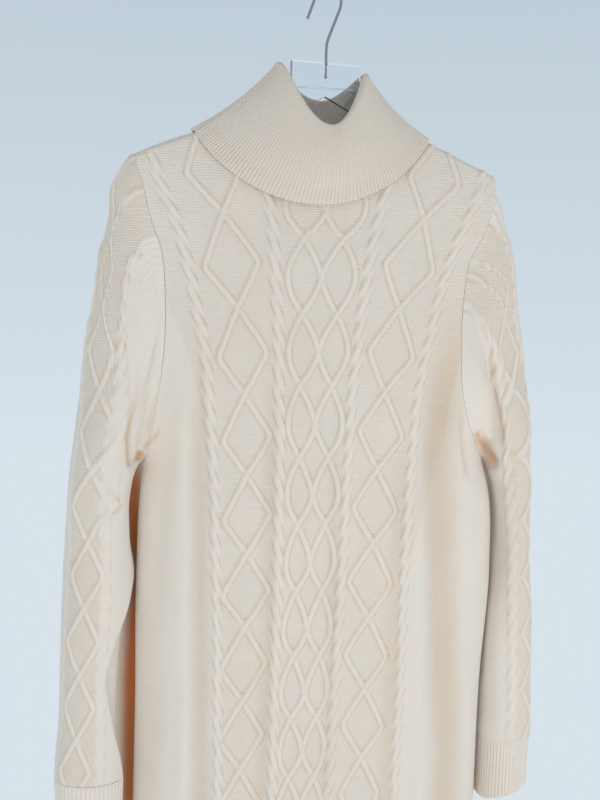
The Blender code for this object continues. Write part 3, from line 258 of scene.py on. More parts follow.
# The flap's edge: its half width, the drops of its middle in front and behind, how pointed it
# is there, and how far the flap bulges between its edge and the fold.
COLLAR_EDGE = {"half_width": 0.1145, "front": 0.212, "back": 0.190, "power": 1.55,
               "bulge_front": 0.004, "bulge_side": -0.004}
# The fold: its half widths, the drops of its sides, front and back, how it falls from one to
# the other, and its depth in front and behind.
COLLAR_FOLD = {"left": 0.047, "right": 0.0395, "side": 0.0822, "front": 0.1400, "back": 0.108,
               "power": 2.4, "depth_front": 0.036, "depth_back": 0.028}
COLLAR_CLEAR = 0.0062            # the flap's outer face stands this far off the body's
FOLD_RADIUS = 0.0037             # radius of its roll
COLLAR_RIBS = 180
COLLAR_PAINTED_SHADE = 0.40               # painted shade: the collar is darker by this, against a groove's
COLLAR_WELT = 0.16               # share of the flap's height that the welt takes
ABOVE_WELT = 0.62                # share of their height that the ribs keep above it

WIRE = 0.0014                    # radius of the hook's wire
LOOP = 0.0150                    # radius of the hook's loop, to the wire's centre
LOOP_SHIFT = 0.0015              # how far right of the origin the loop's centre stands
LOOP_ARC = (-25, 158)            # where the loop's arc begins and ends, in degrees
HOOK_TIP = 0.029                 # length of the straight tip beyond it
STEM = ((0.0, -0.087), (0.0, -0.057), (0.001, -0.052))   # the stem's places below the loop
HOOK_TURN = math.radians(25)     # the hook's plane is turned by this about its stem
CAP_LENGTH = 0.6                 # length of the wire's rounded ends, in radii

# ---- Sizes of the finer forms ------------------------------------------------------------------
STRAND_HALF = 0.0025     # half the width of a travelling strand
STRAND_RISE = 0.0014     # and its height
STRAND_POWER = 0.55      # how flat its top is; 1 is a parabola
STRAND_DIP = 0.92        # share of its height that a strand loses where another passes over it
STRAND_DIP_REACH = 0.0050        # how far from that place it has most of it back
GROOVE_BESIDE = 0.0004   # how far outside a ridge its dark line runs
GROOVE_HALF = 0.0011     # and the line's half width
TURN_ROUND = 0.07        # how round the diamonds' corners are
ROPE_PLY = 0.0036        # half the width of one of a rope's two plies
ROPE_REACH = 0.0022      # how far a ply swings from the rope's middle
ROPE_TWIST = 0.042       # length in which a ply goes once round
ROPE_RISE = 0.0013       # height of a ply where it is under the other
ROPE_OVER = 0.0009       # what it gains where it is over
INNER_PHASE = 0.6        # where in their turn the front's inner ropes begin, in radians
OUTER_PHASE = 2.1        # and its outer ones
RIGHT_PHASE = 0.9        # how much further on those of its right half are
SLEEVE_PHASE = 1.3       # and a sleeve's, which begin so far to either side of 0
WORN = (0.34, 0.75)      # the front's cables flatten between these drops
ROPE_WORN = 0.50         # share of their height that its ropes lose there
STRAND_WORN = 0.25       # and its strands
ROPE_THIN = 0.16         # share of their width that its ropes lose, between the drops of THINS
THINS = (0.24, 0.60)
SLEEVE_WORN = {"left": (0.34, 0.44), "right": (0.42, 0.55)}  # the sleeves' ropes flatten there
SLEEVE_ROPE_WORN = {"left": 0.92, "right": 0.50}             # by this share
RELIEF_MARGIN = 0.006    # cables rise from nothing over this distance from an edge
RIB_RISE = 0.0008        # height of the ribs
RIB_POWER = 0.8          # how narrow the valleys between them are; 1 is a sine
STITCH = 0.0024          # width of a knitted stitch
ROW = 0.0023             # height of a knitted row
HEM_RIBS = 200
HEM_RADIUS = 0.135       # mean radius of the hem band, for its stitches
COLLAR_RADIUS = 0.095    # and of the collar
CABLE_SHARE = 0.74       # share of the front's columns that its cables take
ROPE_MARGIN = 0.008      # how far those columns go on beyond the outer rope
SEAM_MARGIN = 0.006      # and how near they come to the seam
EVEN_SHARE = 0.35        # how evenly the other columns stand; the rest close up at the seams
SLEEVE_COLUMNS = 192     # points round a sleeve
SLEEVE_GROUND = 0.007    # how far its purl ground goes on beyond a rope's middle
UNEVEN = 0.0007          # height of the cloth's shallow waves
NOTCH_FROM_CROSSING = 0.0078     # painted shade at small dark notches above and below each crossing
NOTCH_RADIUS = 0.0014
NOTCH_PAINTED_SHADE = 1.8                 # their painted shade against a groove's
NOTCH_BESIDE = 0.0042            # and beside each corner of a diamond
NOTCH_BESIDE_RADIUS = 0.0013
# their painted shade beside the corners, against a groove's
NOTCH_BESIDE_PAINTED_SHADE = 1.4
TROUGH_PAINTED_SHADE = 0.90               # painted shade of a fold's trough of TROUGH_DEEP, against a groove's
TROUGH_DEEP = 0.008
SLEEVE_GROUND_PAINTED_SHADE = 0.25        # painted shade on the sleeves' purl ground, likewise
SHARP = math.radians(75)         # edges that turn by more than this are shaded sharp

# ---- Colours, camera and light -----------------------------------------------------------------
IVORY = (0.845, 0.770, 0.690)
IVORY_PAINTED_SHADE = (0.62, 0.43, 0.27)          # painted shade: the colour of shade between stitches, in grooves, creases and folds
IVORY_PAINTED_DEEP_SHADE = (0.80, 0.30, 0.10)        # painted deep shade: where light only comes through the cloth
GROUND_PAINTED_SHADE = 0.05       # share of the painted shade colour that the purl ground takes
GROOVE_PAINTED_SHADE = 0.36       # and the painted shade in the grooves beside cables and ribs
PATCH_TONE = 0.16        # and the cloth's faint patches, at most
DEEPEST = 0.85           # the most of it that any place takes
CAMERA_PLACE = (-0.2071, -0.98155, -0.2797)
CAMERA_TURN = (-11.0, 7.0, 1.6)          # azimuth, elevation and roll, in degrees
LENS = 45.0                              # in millimetres, for a picture 36 mm wide
ROOM_LOW = (0.685, 0.765, 0.825)         # the room's colour below
ROOM_HIGH = (0.52, 0.61, 0.69)           # and above
ROOM_RISE = (2.2, 0.40)                  # how fast it turns with height, and from where
# Each lamp's name, place, power, width and height, and colour.
LAMPS = (("key", (0.85, -1.15, -0.95), 6.8, (0.8, 0.8), (1.0, 0.95, 0.90)),
         ("fill", (-0.85, -1.15, -1.0), 5.8, (1.0, 1.0), (1.0, 0.96, 0.91)))
LAMP_AIM = (0, 0, -0.45)                 # the place on the dress that they face
FLOOR = (1.0, -1.0, 0.35, -1.16)         # half width, front, back and level
FLOOR_POINTS = 9                         # points along either side


# ---- Curves and surfaces -----------------------------------------------------------------------
def read(columns, name, drop):
    """A table's value at a drop, on a smooth curve through its rows."""
    at, value = columns["drop"], columns[name]
    slope = np.gradient(value, at)
    x = np.clip(drop, at[0], at[-1])
    i = np.clip(np.searchsorted(at, x) - 1, 0, len(at) - 2)
    step = at[i + 1] - at[i]
    t = (x - at[i]) / step
    return ((1 + 2 * t) * (1 - t) ** 2 * value[i] + t * (1 - t) ** 2 * step * slope[i]
            + t * t * (3 - 2 * t) * value[i + 1] + t * t * (t - 1) * step * slope[i + 1])


def by_side(side, value):
    """A function's value for "left" where side is negative, and for "right" elsewhere."""
    return np.where(side < 0, value("left"), value("right"))


def ramp(low, high, value):
    """0 up to low, 1 from high on, and a smooth rise between."""
    t = np.clip((value - low) / (high - low), 0.0, 1.0)
    return t * t * (3 - 2 * t)


def mound(offset, half):
    """A round ridge: one less the square of offset over half, and 0 from half on."""
    return np.clip(1 - (offset / half) ** 2, 0.0, 1.0)


def stations(start, *stretches):
    """Values from start on, through stretches given as their end and their number of steps."""
    values = [np.array([start])]
    for end, count in stretches:
        values.append(np.linspace(values[-1][-1], end, count + 1)[1:])
    return np.concatenate(values)


def shoulder(x):
    """Drop of the shoulder line: it falls evenly to both sides, and the hanger leans."""
    at, half, lift = SHOULDER_LIFT
    return (SHOULDER_TOP + SHOULDER_SLOPE * np.abs(x) + HANGER_LEAN * x
            - lift * mound(x - at, half))


def top_edge(x, side):
    """Drop of a body panel's top edge: the neckline's dip, then the shoulder."""
    inside = np.clip(1 - (x / NECK_HALF) ** 2, 0.0, 1.0)
    corner = shoulder(np.clip(x, -NECK_HALF, NECK_HALF))
    dip = corner + (NECK_DROP[side] - corner) * inside ** NECK_POWER
    return np.where(np.abs(x) < NECK_HALF, dip, shoulder(x))


def folds(side, across, drop):
    """Height of a panel's long soft folds: bell curves across that set in below their start."""
    height = np.zeros(np.broadcast(across, drop).shape)
    for places, half, depth, begins, full in FOLDS[side]:
        at = np.interp(drop, FOLD_DROPS, places)
        height += depth * np.exp(-((across - at) / half) ** 2) * ramp(begins, full, drop)
    return height


def body_depth(x, drop, side):
    """How far a body panel stands from the centre plane.

    The section is a flattened round from seam to seam. At the shoulder it rolls over the
    hanger's arm, and it has the panel's folds, which fade towards the side seams.
    """
    edge = by_side(x, lambda way: read(BODY, way, drop))
    around = np.clip(np.abs(x) / edge * read(BODY, "share", drop), 0.0, 1.0)
    flank = np.sqrt(1 - around ** SECTION_POWER)
    roll = np.clip((drop - top_edge(x, side)) / SHOULDER_ROLL, 0.0, 1.0)
    roll = np.sqrt(1 - (1 - roll) ** 2)
    hung = ramp(NECK_LIP, NECK_HALF, np.abs(x))
    fold = folds(side, x - read(BODY, "axis", drop), drop) * np.clip(1.6 * flank - 0.3, 0, 1)
    depth = read(BODY, side, drop) * flank * (1 - hung * (1 - roll)) + fold
    return np.maximum(depth, SEAM / 2)


def unevenness(across, drop, height):
    """Shallow waves of three lengths that cross each other, as hand-washed cloth has."""
    waves = (np.sin(61 * across + 17 * drop + 0.4) * np.sin(23 * drop + 9 * across + 1.1)
             + 0.6 * np.sin(118 * across - 31 * drop + 2.2) * np.sin(52 * drop + 0.7)
             + 0.4 * np.sin(83 * drop + 140 * across + 0.9) * np.sin(190 * across - 47 * drop))
    return height * waves


def outward(grid, middle):
    """Unit normals of a closed ring's grid of points, turned away from the points called middle."""
    across = np.roll(grid, -1, axis=1) - np.roll(grid, 1, axis=1)
    out = np.cross(across, np.gradient(grid, axis=0))
    out *= np.sign(np.sum(out * (grid - middle), axis=-1).mean())
    return out / np.maximum(np.linalg.norm(out, axis=-1, keepdims=True), 1e-12)


# ---- Meshes ------------------------------------------------------------------------------------
def grid_faces(index, ring):
    """Quads between neighbouring rows and columns of an array of point numbers."""
    if ring:
        index = np.concatenate([index, index[:, :1]], axis=1)
    quads = np.stack([index[:-1, :-1], index[1:, :-1], index[1:, 1:], index[:-1, 1:]], -1)
    return quads.reshape(-1, 4)


def rim_faces(fine, coarse, ring):
    """Triangles between a fine line of points and a coarse one that meets every few of them."""
    if ring:
        fine, coarse = np.r_[fine, fine[:1]], np.r_[coarse, coarse[:1]]
    step = (len(fine) - 1) // (len(coarse) - 1)
    i = np.arange(len(fine) - 1)
    fans = np.stack([fine[i], fine[i + 1], coarse[(i + step // 2) // step]], -1)
    k = np.arange(len(coarse) - 1)
    middle = fine[k * step + (step + 1) // 2]
    return np.concatenate([fans, np.stack([middle, coarse[k + 1], coarse[k]], -1)])


def signed_volume(points, faces):
    """Six times the volume inside some faces, negative if they point inwards."""
    total = 0.0
    for group in faces:
        for k in range(2, group.shape[1]):
            a, b, c = points[group[:, 0]], points[group[:, k - 1]], points[group[:, k]]
            total += np.sum(a * np.cross(b, c))
    return total


def place(name, points, faces, material, flat=None, period=None, values=None):
    """A mesh object from arrays of points and faces, with its faces turned outwards.

    flat is each point's place on the cloth in metres. A face that runs over the end of a ring
    has the ring's period added to its places before the end.
    """
    if signed_volume(points, faces) < 0:
        faces = [group[:, ::-1] for group in faces]
    mesh = bpy.data.meshes.new(name)
    mesh.from_pydata(points.tolist(), [], [face for group in faces for face in group.tolist()])
    if flat is not None:
        places = []
        for group in faces:
            spot = flat[group]
            if period is not None:
                behind = spot[..., 0].max(axis=1, keepdims=True) - spot[..., 0] > period / 2
                spot[..., 0] += np.where(behind, period, 0.0)
            places.append(spot.reshape(-1, 2))
        mesh.uv_layers.new(name="cloth").data.foreach_set("uv", np.concatenate(places).ravel())
    for label, value in (values or {}).items():
        mesh.attributes.new(label, "FLOAT", "POINT").data.foreach_set("value", value)
    mesh.shade_smooth()
    mesh.set_sharp_from_angle(angle=SHARP)
    mesh.materials.append(material)
    piece = bpy.data.objects.new(name, mesh)
    bpy.context.scene.collection.objects.link(piece)
    return piece


def shell(name, material, outer, plain, normal, flat, steps, period=None, values=None):
    """A closed thin wall: the outer grid, an inner one at every few points, and their rims."""
    ring = period is not None
    pick = np.ix_(np.arange(0, outer.shape[0], steps[0]), np.arange(0, outer.shape[1], steps[1]))
    inner = (plain - normal * WALL)[pick]
    fine = np.arange(outer.shape[0] * outer.shape[1]).reshape(outer.shape[:2])
    coarse = fine.size + np.arange(inner.shape[0] * inner.shape[1]).reshape(inner.shape[:2])
    quads = np.concatenate([grid_faces(fine, ring), grid_faces(coarse[::-1], ring)])
    rims = [rim_faces(fine[0], coarse[0], ring), rim_faces(fine[-1], coarse[-1], ring)[:, ::-1]]
    if not ring:
        rims += [rim_faces(fine[:, 0], coarse[:, 0], False)[:, ::-1],
                 rim_faces(fine[:, -1], coarse[:, -1], False)]
    points = np.concatenate([outer.reshape(-1, 3), inner.reshape(-1, 3)])
    flat = np.concatenate([flat.reshape(-1, 2), flat[pick].reshape(-1, 2)])
    values = {label: np.r_[value.ravel(), np.zeros(coarse.size)]
              for label, value in (values or {}).items()}
    return place(name, points, [quads, np.concatenate(rims)], material, flat, period, values)


def lengths(grid, axis):
    """Distances along a grid's rows or columns, from their first point."""
    step = np.linalg.norm(np.diff(grid, axis=axis), axis=-1)
    pad = [(0, 0), (0, 0)]
    pad[axis] = (1, 0)
    return np.pad(np.cumsum(step, axis=axis), pad)


# ---- Cables ------------------------------------------------------------------------------------
def beside(body):
    """Share of the purl ground that shows where the cables stand so high, from 0 to 1."""
    return 1 - np.clip(1.4 * body, 0, 1)


def strand(offset, slope, half=STRAND_HALF):
    """Height of a travelling strand, 0 to 1: a flat-topped ridge across its own direction."""
    return mound(offset / np.sqrt(1 + slope ** 2), half) ** STRAND_POWER


def groove_shade_line(offset, slope, half):
    """Painted shade: a dark line just beside a ridge, a bell curve on either side of it."""
    near = np.abs(offset) / np.sqrt(1 + slope ** 2) - half - GROOVE_BESIDE
    return np.exp(-(near / GROOVE_HALF) ** 2)


def under(distance):
    """Share of its height that a strand keeps so far from where another passes over it."""
    return 1 - STRAND_DIP * np.exp(-(distance / STRAND_DIP_REACH) ** 2)


def rope(offset, drop, phase):
    """Height of a rope cable, two plies that wind round each other, and its painted shade lines.

    Each ply swings from side to side as a sine and rises and falls as the cosine of the same
    turn, its section is a half round, and the higher of the two shows. The painted shade line
    beside a ply is as dark as the ply is high.
    """
    height = np.zeros(np.broadcast(offset, drop).shape)
    painted_dark = np.zeros_like(height)
    for turn in (0.0, math.pi):
        angle = 2 * np.pi * drop / ROPE_TWIST + turn + phase
        away = offset + ROPE_REACH * np.sin(angle)
        level = ROPE_RISE + ROPE_OVER * np.cos(angle)
        height = np.maximum(height, level * np.sqrt(mound(away, ROPE_PLY)))
        painted_dark = np.maximum(painted_dark, groove_shade_line(away, 0.0, ROPE_PLY) * np.clip(np.cos(angle) + 0.2, 0, 1))
    return height, painted_dark


def nearest(drop, places):
    """Distance from the nearest of some drops."""
    i = np.clip(np.searchsorted(places, drop), 1, len(places) - 1)
    return np.minimum(np.abs(drop - places[i - 1]), np.abs(drop - places[i]))


def turns(crossings, lean):
    """Drops at which strands turn back between their crossings."""
    return crossings[:-1] + np.diff(crossings) * (0.5 + lean)


def peaks(crossings, drop, lean):
    """0 at each crossing and 1 between: straight lines that turn in a small round.

    They turn half way between two crossings, or lower by a share, lean, of their distance.
    """
    part = np.interp(drop, crossings, np.arange(len(crossings))) % 1
    turn = 0.5 + lean
    away = np.where(part < turn, 1 - part / turn, (part - turn) / (1 - turn))
    round_by = np.sqrt(1 + TURN_ROUND ** 2)
    return (round_by - np.sqrt(away ** 2 + TURN_ROUND ** 2)) / (round_by - TURN_ROUND)


def front_strands(drop, side):
    """Distances from the middle line of the four strands on one half of the front.

    The diamonds open in straight lines. The lattice's outer strand bows out as a sine, and its
    inner one runs in to the middle line, where it crosses the other half's.
    """
    diamond = read(PATTERN, "diamond", drop)
    half = read(PATTERN, "diamond_half", drop)
    inner, outer = (by_side(side, lambda way: peaks(DIAMONDS[way], drop, lean))
                    for lean in (0.0, OUTER_LEAN))
    edge = read(PATTERN, "lattice_half", drop)
    crossing = LATTICE_SHARE * edge
    phase = np.interp(drop, LATTICE, np.arange(len(LATTICE))) / 2
    straight = 1 - np.abs(2 * (phase % 1) - 1)
    bowed = np.sin(np.pi / 2 * straight)
    return np.stack([diamond - half * inner, diamond + half * outer,
                     crossing * (1 - 0.4 * straight - 0.6 * bowed),
                     crossing + (edge - crossing) * bowed])


def from_diamonds(drop, side):
    """Distance from the nearest crossing of the diamonds' strands on that side."""
    return by_side(side, lambda way: nearest(drop, DIAMONDS[way]))


def front_notch_shade(across, drop, side):
    """Painted shade at small dark places above and below each crossing of strands, and beside
    each corner.
    """
    diamond, half = read(PATTERN, "diamond", drop), read(PATTERN, "diamond_half", drop)
    from_inner, from_outer = (
        by_side(side, lambda way: nearest(drop, turns(DIAMONDS[way], lean)))
        for lean in (0.0, OUTER_LEAN))
    painted_dark = np.zeros_like(across)
    for centre, away in (
            (diamond, from_diamonds(drop, side)), (0.0, nearest(drop, LATTICE[1::2])),
            (LATTICE_SHARE * read(PATTERN, "lattice_half", drop), nearest(drop, LATTICE[::2]))):
        reach = np.hypot(across - centre, away - NOTCH_FROM_CROSSING)
        painted_dark = np.maximum(painted_dark, NOTCH_PAINTED_SHADE * np.exp(-(reach / NOTCH_RADIUS) ** 2))
    for centre, away in ((diamond - half - NOTCH_BESIDE, from_inner),
                         (diamond + half + NOTCH_BESIDE, from_outer)):
        reach = np.hypot(across - centre, away)
        spot = np.exp(-(reach / NOTCH_BESIDE_RADIUS) ** 2)
        painted_dark = np.maximum(painted_dark, NOTCH_BESIDE_PAINTED_SHADE * spot)
    return painted_dark


def front_cables(x, drop):
    """Height of the front's cables, and the masks of its purl ground and of its painted shade
    in grooves.
    """
    axis = read(BODY, "axis", drop)
    side = np.where(x < axis, -1.0, 1.0)
    across = np.abs(x - axis)
    step = 0.0005
    lines = front_strands(drop, side)
    slopes = (front_strands(drop + step, side) - front_strands(drop - step, side)) / (2 * step)
    to_diamond = from_diamonds(drop, side)
    gaps = [to_diamond, to_diamond, nearest(drop, LATTICE), nearest(drop, LATTICE[::2])]
    worn = ramp(*WORN, drop)
    height, painted_dark, body, rope_shade = (np.zeros_like(across) for _ in range(4))
    for line, slope, gap in zip(lines, slopes, gaps):
        kept = np.where(side * slope < 0, 1.0, under(gap))
        ridge = strand(across - line, slope) * kept
        height = np.maximum(height, STRAND_RISE * (1 - STRAND_WORN * worn) * ridge)
        painted_dark = np.maximum(painted_dark, groove_shade_line(across - line, slope, STRAND_HALF) * kept)
        body = np.maximum(body, ridge)
    painted_dark = np.maximum(painted_dark, front_notch_shade(across, drop, side))
    width = 1 - ROPE_THIN * ramp(*THINS, drop)
    outer, margin = (by_side(side, lambda way: read(PATTERN, name + way, drop))
                     for name in ("outer_", "ground_"))
    for line, phase in ((read(PATTERN, "inner", drop), INNER_PHASE), (outer, OUTER_PHASE)):
        twist, shade_lines = rope((across - line) / width, drop, phase + RIGHT_PHASE * (side > 0))
        height = np.maximum(height, twist * (1 - ROPE_WORN * worn))
        body = np.maximum(body, np.clip(twist / ROPE_RISE, 0, 1))
        rope_shade = np.maximum(rope_shade, shade_lines)
    edge = np.minimum(drop - top_edge(x, "front"), BODY_END - drop)
    ground = ramp(0, 0.003, outer + margin - across) * beside(body)
    return height * ramp(0, RELIEF_MARGIN, edge), ground, np.maximum(painted_dark * (1 - body), rope_shade)


# ---- Body panels -------------------------------------------------------------------------------
def body_points(x, drop, side):
    """Points of a body panel's plain outer face, and their outward directions."""
    step = 0.0004
    depth = body_depth(x, drop, side)
    slope_x = (body_depth(x + step, drop, side) - body_depth(x - step, drop, side)) / (2 * step)
    slope_z = (body_depth(x, drop - step, side) - body_depth(x, drop + step, side)) / (2 * step)
    facing = -1.0 if side == "front" else 1.0
    points = np.stack([x, facing * depth, -drop], -1)
    out = np.stack([-slope_x, facing * np.ones_like(x), -slope_z], -1)
    return points, out / np.linalg.norm(out, axis=-1, keepdims=True)


def panel_grid(side, share, rows):
    """Every point's x and drop on a panel: its rows run evenly from the top edge to the level hem.

    share runs from -1 at the left seam to 1 at the right one. The cables take most of the
    columns, and the columns close up towards the seams.
    """
    x, drop = np.zeros((len(rows), len(share))), np.full((len(rows), len(share)), 0.3)
    size, sign = np.abs(share), np.sign(share)
    for _ in range(6):
        seam = by_side(sign, lambda way: read(BODY, way, drop))
        axis = read(BODY, "axis", drop)
        outer = by_side(sign, lambda way: read(PATTERN, "outer_" + way, drop))
        zone = np.minimum(outer + ROPE_MARGIN, seam - SEAM_MARGIN - np.abs(axis))
        beyond = np.clip((size - CABLE_SHARE) / (1 - CABLE_SHARE), 0, 1)
        rest = EVEN_SHARE * beyond + (1 - EVEN_SHARE) * np.sin(np.pi / 2 * beyond)
        near = axis + sign * zone * np.minimum(size / CABLE_SHARE, 1)
        x = near + (sign * seam - near) * rest
        top = top_edge(x, side)
        drop = top + (BODY_END - top) * rows[:, None]
    return x, drop


def panel(name, side, share, rows, steps, material):
    """A body panel as a thin wall, with its cables if it is the front."""
    x, drop = panel_grid(side, share, rows)
    plain, out = body_points(x, drop, side)
    # Painted shade: a fold's trough is painted darker the deeper it is.
    trough = -folds(side, x - read(BODY, "axis", drop), drop) / TROUGH_DEEP
    values = {"painted_shade": TROUGH_PAINTED_SHADE * np.clip(trough, 0, 1.2)}
    height = np.zeros_like(x)
    if side == "front":
        height, values["purl"], grooves = front_cables(x, drop)
        # Painted shade in the cables' grooves and notches.
        values["painted_shade"] += grooves
    waves = unevenness(x, drop, UNEVEN) * ramp(0, 0.03, drop - top_edge(x, side))
    seam = ramp(1.0, 0.9, np.abs(share))
    if side == "front":
        lifted, mark_shade = marks(plain)
        plain += out * (lifted * seam)[..., None]
        # Painted shade in the creases by the armpits, and painted deep shade in the deepest.
        values["painted_shade"] += MARK_PAINTED_SHADE * mark_shade
        values["painted_deep_shade"] = MARK_PAINTED_DEEP_SHADE * mark_shade ** 2
    outer = plain + out * (height + waves * seam)[..., None]
    outer[..., 1] = np.where(side == "front", -1, 1) * np.maximum(np.abs(outer[..., 1]), SEAM / 2)
    across = lengths(plain, 1)
    across -= across[:, [len(share) // 2]]
    flat = np.stack([across, -drop], -1)
    return shell(name, material, outer, plain, out, flat, steps, values=values)


# ---- Sleeves and cuffs -------------------------------------------------------------------------
def along(ring, share):
    """Points at shares of a closed ring's length."""
    closed = np.vstack([ring, ring[:1]])
    length = np.r_[0, np.cumsum(np.linalg.norm(np.diff(closed, axis=0), axis=1))]
    return np.stack([np.interp((share % 1) * length[-1], length, closed[:, k])
                     for k in range(3)], -1)


def armhole(which):
    """The armhole's ring from the shoulder down the front and up the back."""
    sign, side = (-1.0, "left") if which == "left" else (1.0, "right")
    top = 0.17
    for _ in range(8):
        top = float(shoulder(sign * read(BODY, side, top)))
    drop = top + (ARMPIT - top) * np.linspace(0, 1, 160) ** 1.5
    x = sign * read(BODY, side, drop)
    front, _ = body_points(x, drop, "front")
    back, _ = body_points(x, drop, "back")
    return np.vstack([front, back[::-1]]) + (sign * SEAM, 0, 0)


def tube_point(which, angle, drop):
    """A point of the sleeve's tube, with the angle taken from its outer side to the front.

    The section is a half ellipse on either side of the middle line, squarer below the armpit.
    Dents and the lap shrink it towards that line, and a bell curve tucks it in behind the body.
    """
    rows = SLEEVES[which]
    middle = read(rows, "middle", drop)
    reach = np.where(np.cos(angle) > 0, read(rows, "outer", drop) - middle,
                     middle - read(rows, "inner", drop))
    dent = np.zeros_like(angle)
    turn = np.degrees(angle) % 360
    for at, half, centre, length, depth in SLEEVE_DENTS[which]:
        dent += depth * np.exp(-((turn - at) / half) ** 2) * mound(drop - centre, length) ** 2
    if which == "left":
        edge = read(LAP, "angle", drop)
        lap = ramp(edge, edge + LAP_EDGE, turn) * (1 - ramp(*LAP_END, turn))
        dent += LAP_DEEP * lap * ramp(*LAP_BEGINS, drop)
    depth = read(rows, "depth", drop)
    shrink = 1 - dent / SLEEVE_RADIUS
    tuck = read(rows, "tuck", drop) * np.exp(-((turn - TUCK_ANGLE) / TUCK_HALF) ** 2)
    sign = -1.0 if which == "left" else 1.0
    x = sign * (middle + reach * np.cos(angle) * shrink - tuck)
    power = 1 - SLEEVE_SQUARE * ramp(*SLEEVE_SQUARE_AT, drop)
    high = np.sign(np.sin(angle)) * np.abs(np.sin(angle)) ** power
    return np.stack([x, -depth * high * shrink, -drop], -1)


def sleeve_opening(which, drop, sign):
    """Distance round the sleeve from its lattice's middle to the strand on one side of it."""
    wide, narrow = SLEEVE_LATTICE[which][sign]
    half = wide + (narrow - wide) * ramp(*NARROWS, drop)
    return half * peaks(SLEEVE_CROSSINGS[which], drop, 0.0)


def run_to(run, angle):
    """Distance round each ring to its point at an angle, from the rings' running lengths."""
    column = angle / (2 * np.pi) * (run.shape[1] - 1)
    low = np.floor(column).astype(int)
    share = column - low
    return (np.take_along_axis(run, low, 1) * (1 - share)
            + np.take_along_axis(run, low + 1, 1) * share)


def sleeve_cables(which, grid, drop):
    """Height of a sleeve's lattice and ropes, and the masks of its purl ground and of painted
    shade in its grooves.

    They are placed by distances round the sleeve from its lattice's middle, along the cloth at
    its top and level below. The rope behind the lattice mirrors the one in front.
    """
    rows = SLEEVES[which]
    closed = np.concatenate([grid, grid[:, :1]], axis=1)
    level = ramp(*NARROWS, -closed[..., 2])
    steps = np.diff(closed, axis=1)
    steps[..., 2] *= 1 - level[:, 1:]
    run = np.pad(np.cumsum(np.linalg.norm(steps, axis=-1), axis=1), ((0, 0), (1, 0)))
    lattice = run_to(run, np.radians(read(rows, "lattice", drop)))
    front_rope = run_to(run, np.radians(read(rows, "rope", drop)))
    off = run[:, :-1] - lattice
    off -= run[:, -1:] * np.round(off / run[:, -1:])
    step = 0.0005
    gap = nearest(drop, SLEEVE_CROSSINGS[which])
    facing = 1.0 if which == "left" else -1.0
    height, painted_dark, body, rope_shade, ground = (np.zeros_like(off) for _ in range(5))
    worn = 1 - SLEEVE_ROPE_WORN[which] * ramp(*SLEEVE_WORN[which], drop)
    for sign in (-1, 1):
        open_by = sleeve_opening(which, drop, sign)
        slope = (sleeve_opening(which, drop + step, sign)
                 - sleeve_opening(which, drop - step, sign)) / (2 * step)
        reach = np.maximum(front_rope - lattice, ROPE_APART[sign])
        kept = np.where(facing * sign * slope < 0, 1.0, under(gap))
        if sign > 0:
            kept = kept * (1 - STRAND_FADES[which] * ramp(*STRAND_FADES_AT, drop))
        ridge = strand(off - sign * open_by, slope) * kept
        height = np.maximum(height, STRAND_RISE * ridge)
        painted_dark = np.maximum(painted_dark, groove_shade_line(off - sign * open_by, slope, STRAND_HALF) * kept)
        body = np.maximum(body, ridge)
        twist, shade_lines = rope(facing * (off - sign * reach), drop, SLEEVE_PHASE * sign)
        height = np.maximum(height, twist * worn)
        body = np.maximum(body, np.clip(twist / ROPE_RISE, 0, 1))
        rope_shade = np.maximum(rope_shade, shade_lines * worn)
        ground = np.maximum(ground, ramp(0, 0.002, reach + SLEEVE_GROUND - sign * off)
                            * ramp(-0.002, 0, sign * off))
    return height, ground * beside(body), np.maximum(painted_dark * (1 - body), rope_shade)


def shaded(which, turn, drop):
    """How much painted deep shade a sleeve or cuff takes beside the body below the armpit, where
    light only comes through the cloth.
    """
    at, half, strength = SHADED[which]
    bell = np.exp(-((np.degrees(turn) - at) / half) ** 2)
    return np.minimum(strength * bell * ramp(ARMPIT - 0.02, 0.50, drop), 1.0)


def marks(points):
    """Height and painted shade of the creases and lips of MARKS, on cloth that faces the front."""
    x, drop = points[..., 0], -points[..., 2]
    height, painted_dark = np.zeros_like(x), np.zeros_like(x)
    for path, half, rise, shade_tone, (grows, fades) in MARKS:
        places = np.array(path)
        near, share = np.full_like(x, np.inf), np.zeros_like(x)
        for k, (start, end) in enumerate(zip(places[:-1], places[1:])):
            run = end - start
            along_it = ((x - start[0]) * run[0] + (drop - start[1]) * run[1]) / (run @ run)
            along_it = np.clip(along_it, 0.0, 1.0)
            away = np.hypot(x - start[0] - along_it * run[0], drop - start[1] - along_it * run[1])
            share = np.where(away < near, (k + along_it) / (len(places) - 1), share)
            near = np.minimum(near, away)
        strength = np.exp(-(near / half) ** 2) * ramp(0, grows, share) * ramp(0, fades, 1 - share)
        strength *= ramp(0.0, 0.005, -points[..., 1])
        height += rise * strength
        painted_dark = np.maximum(painted_dark, shade_tone * strength)
    return height, painted_dark


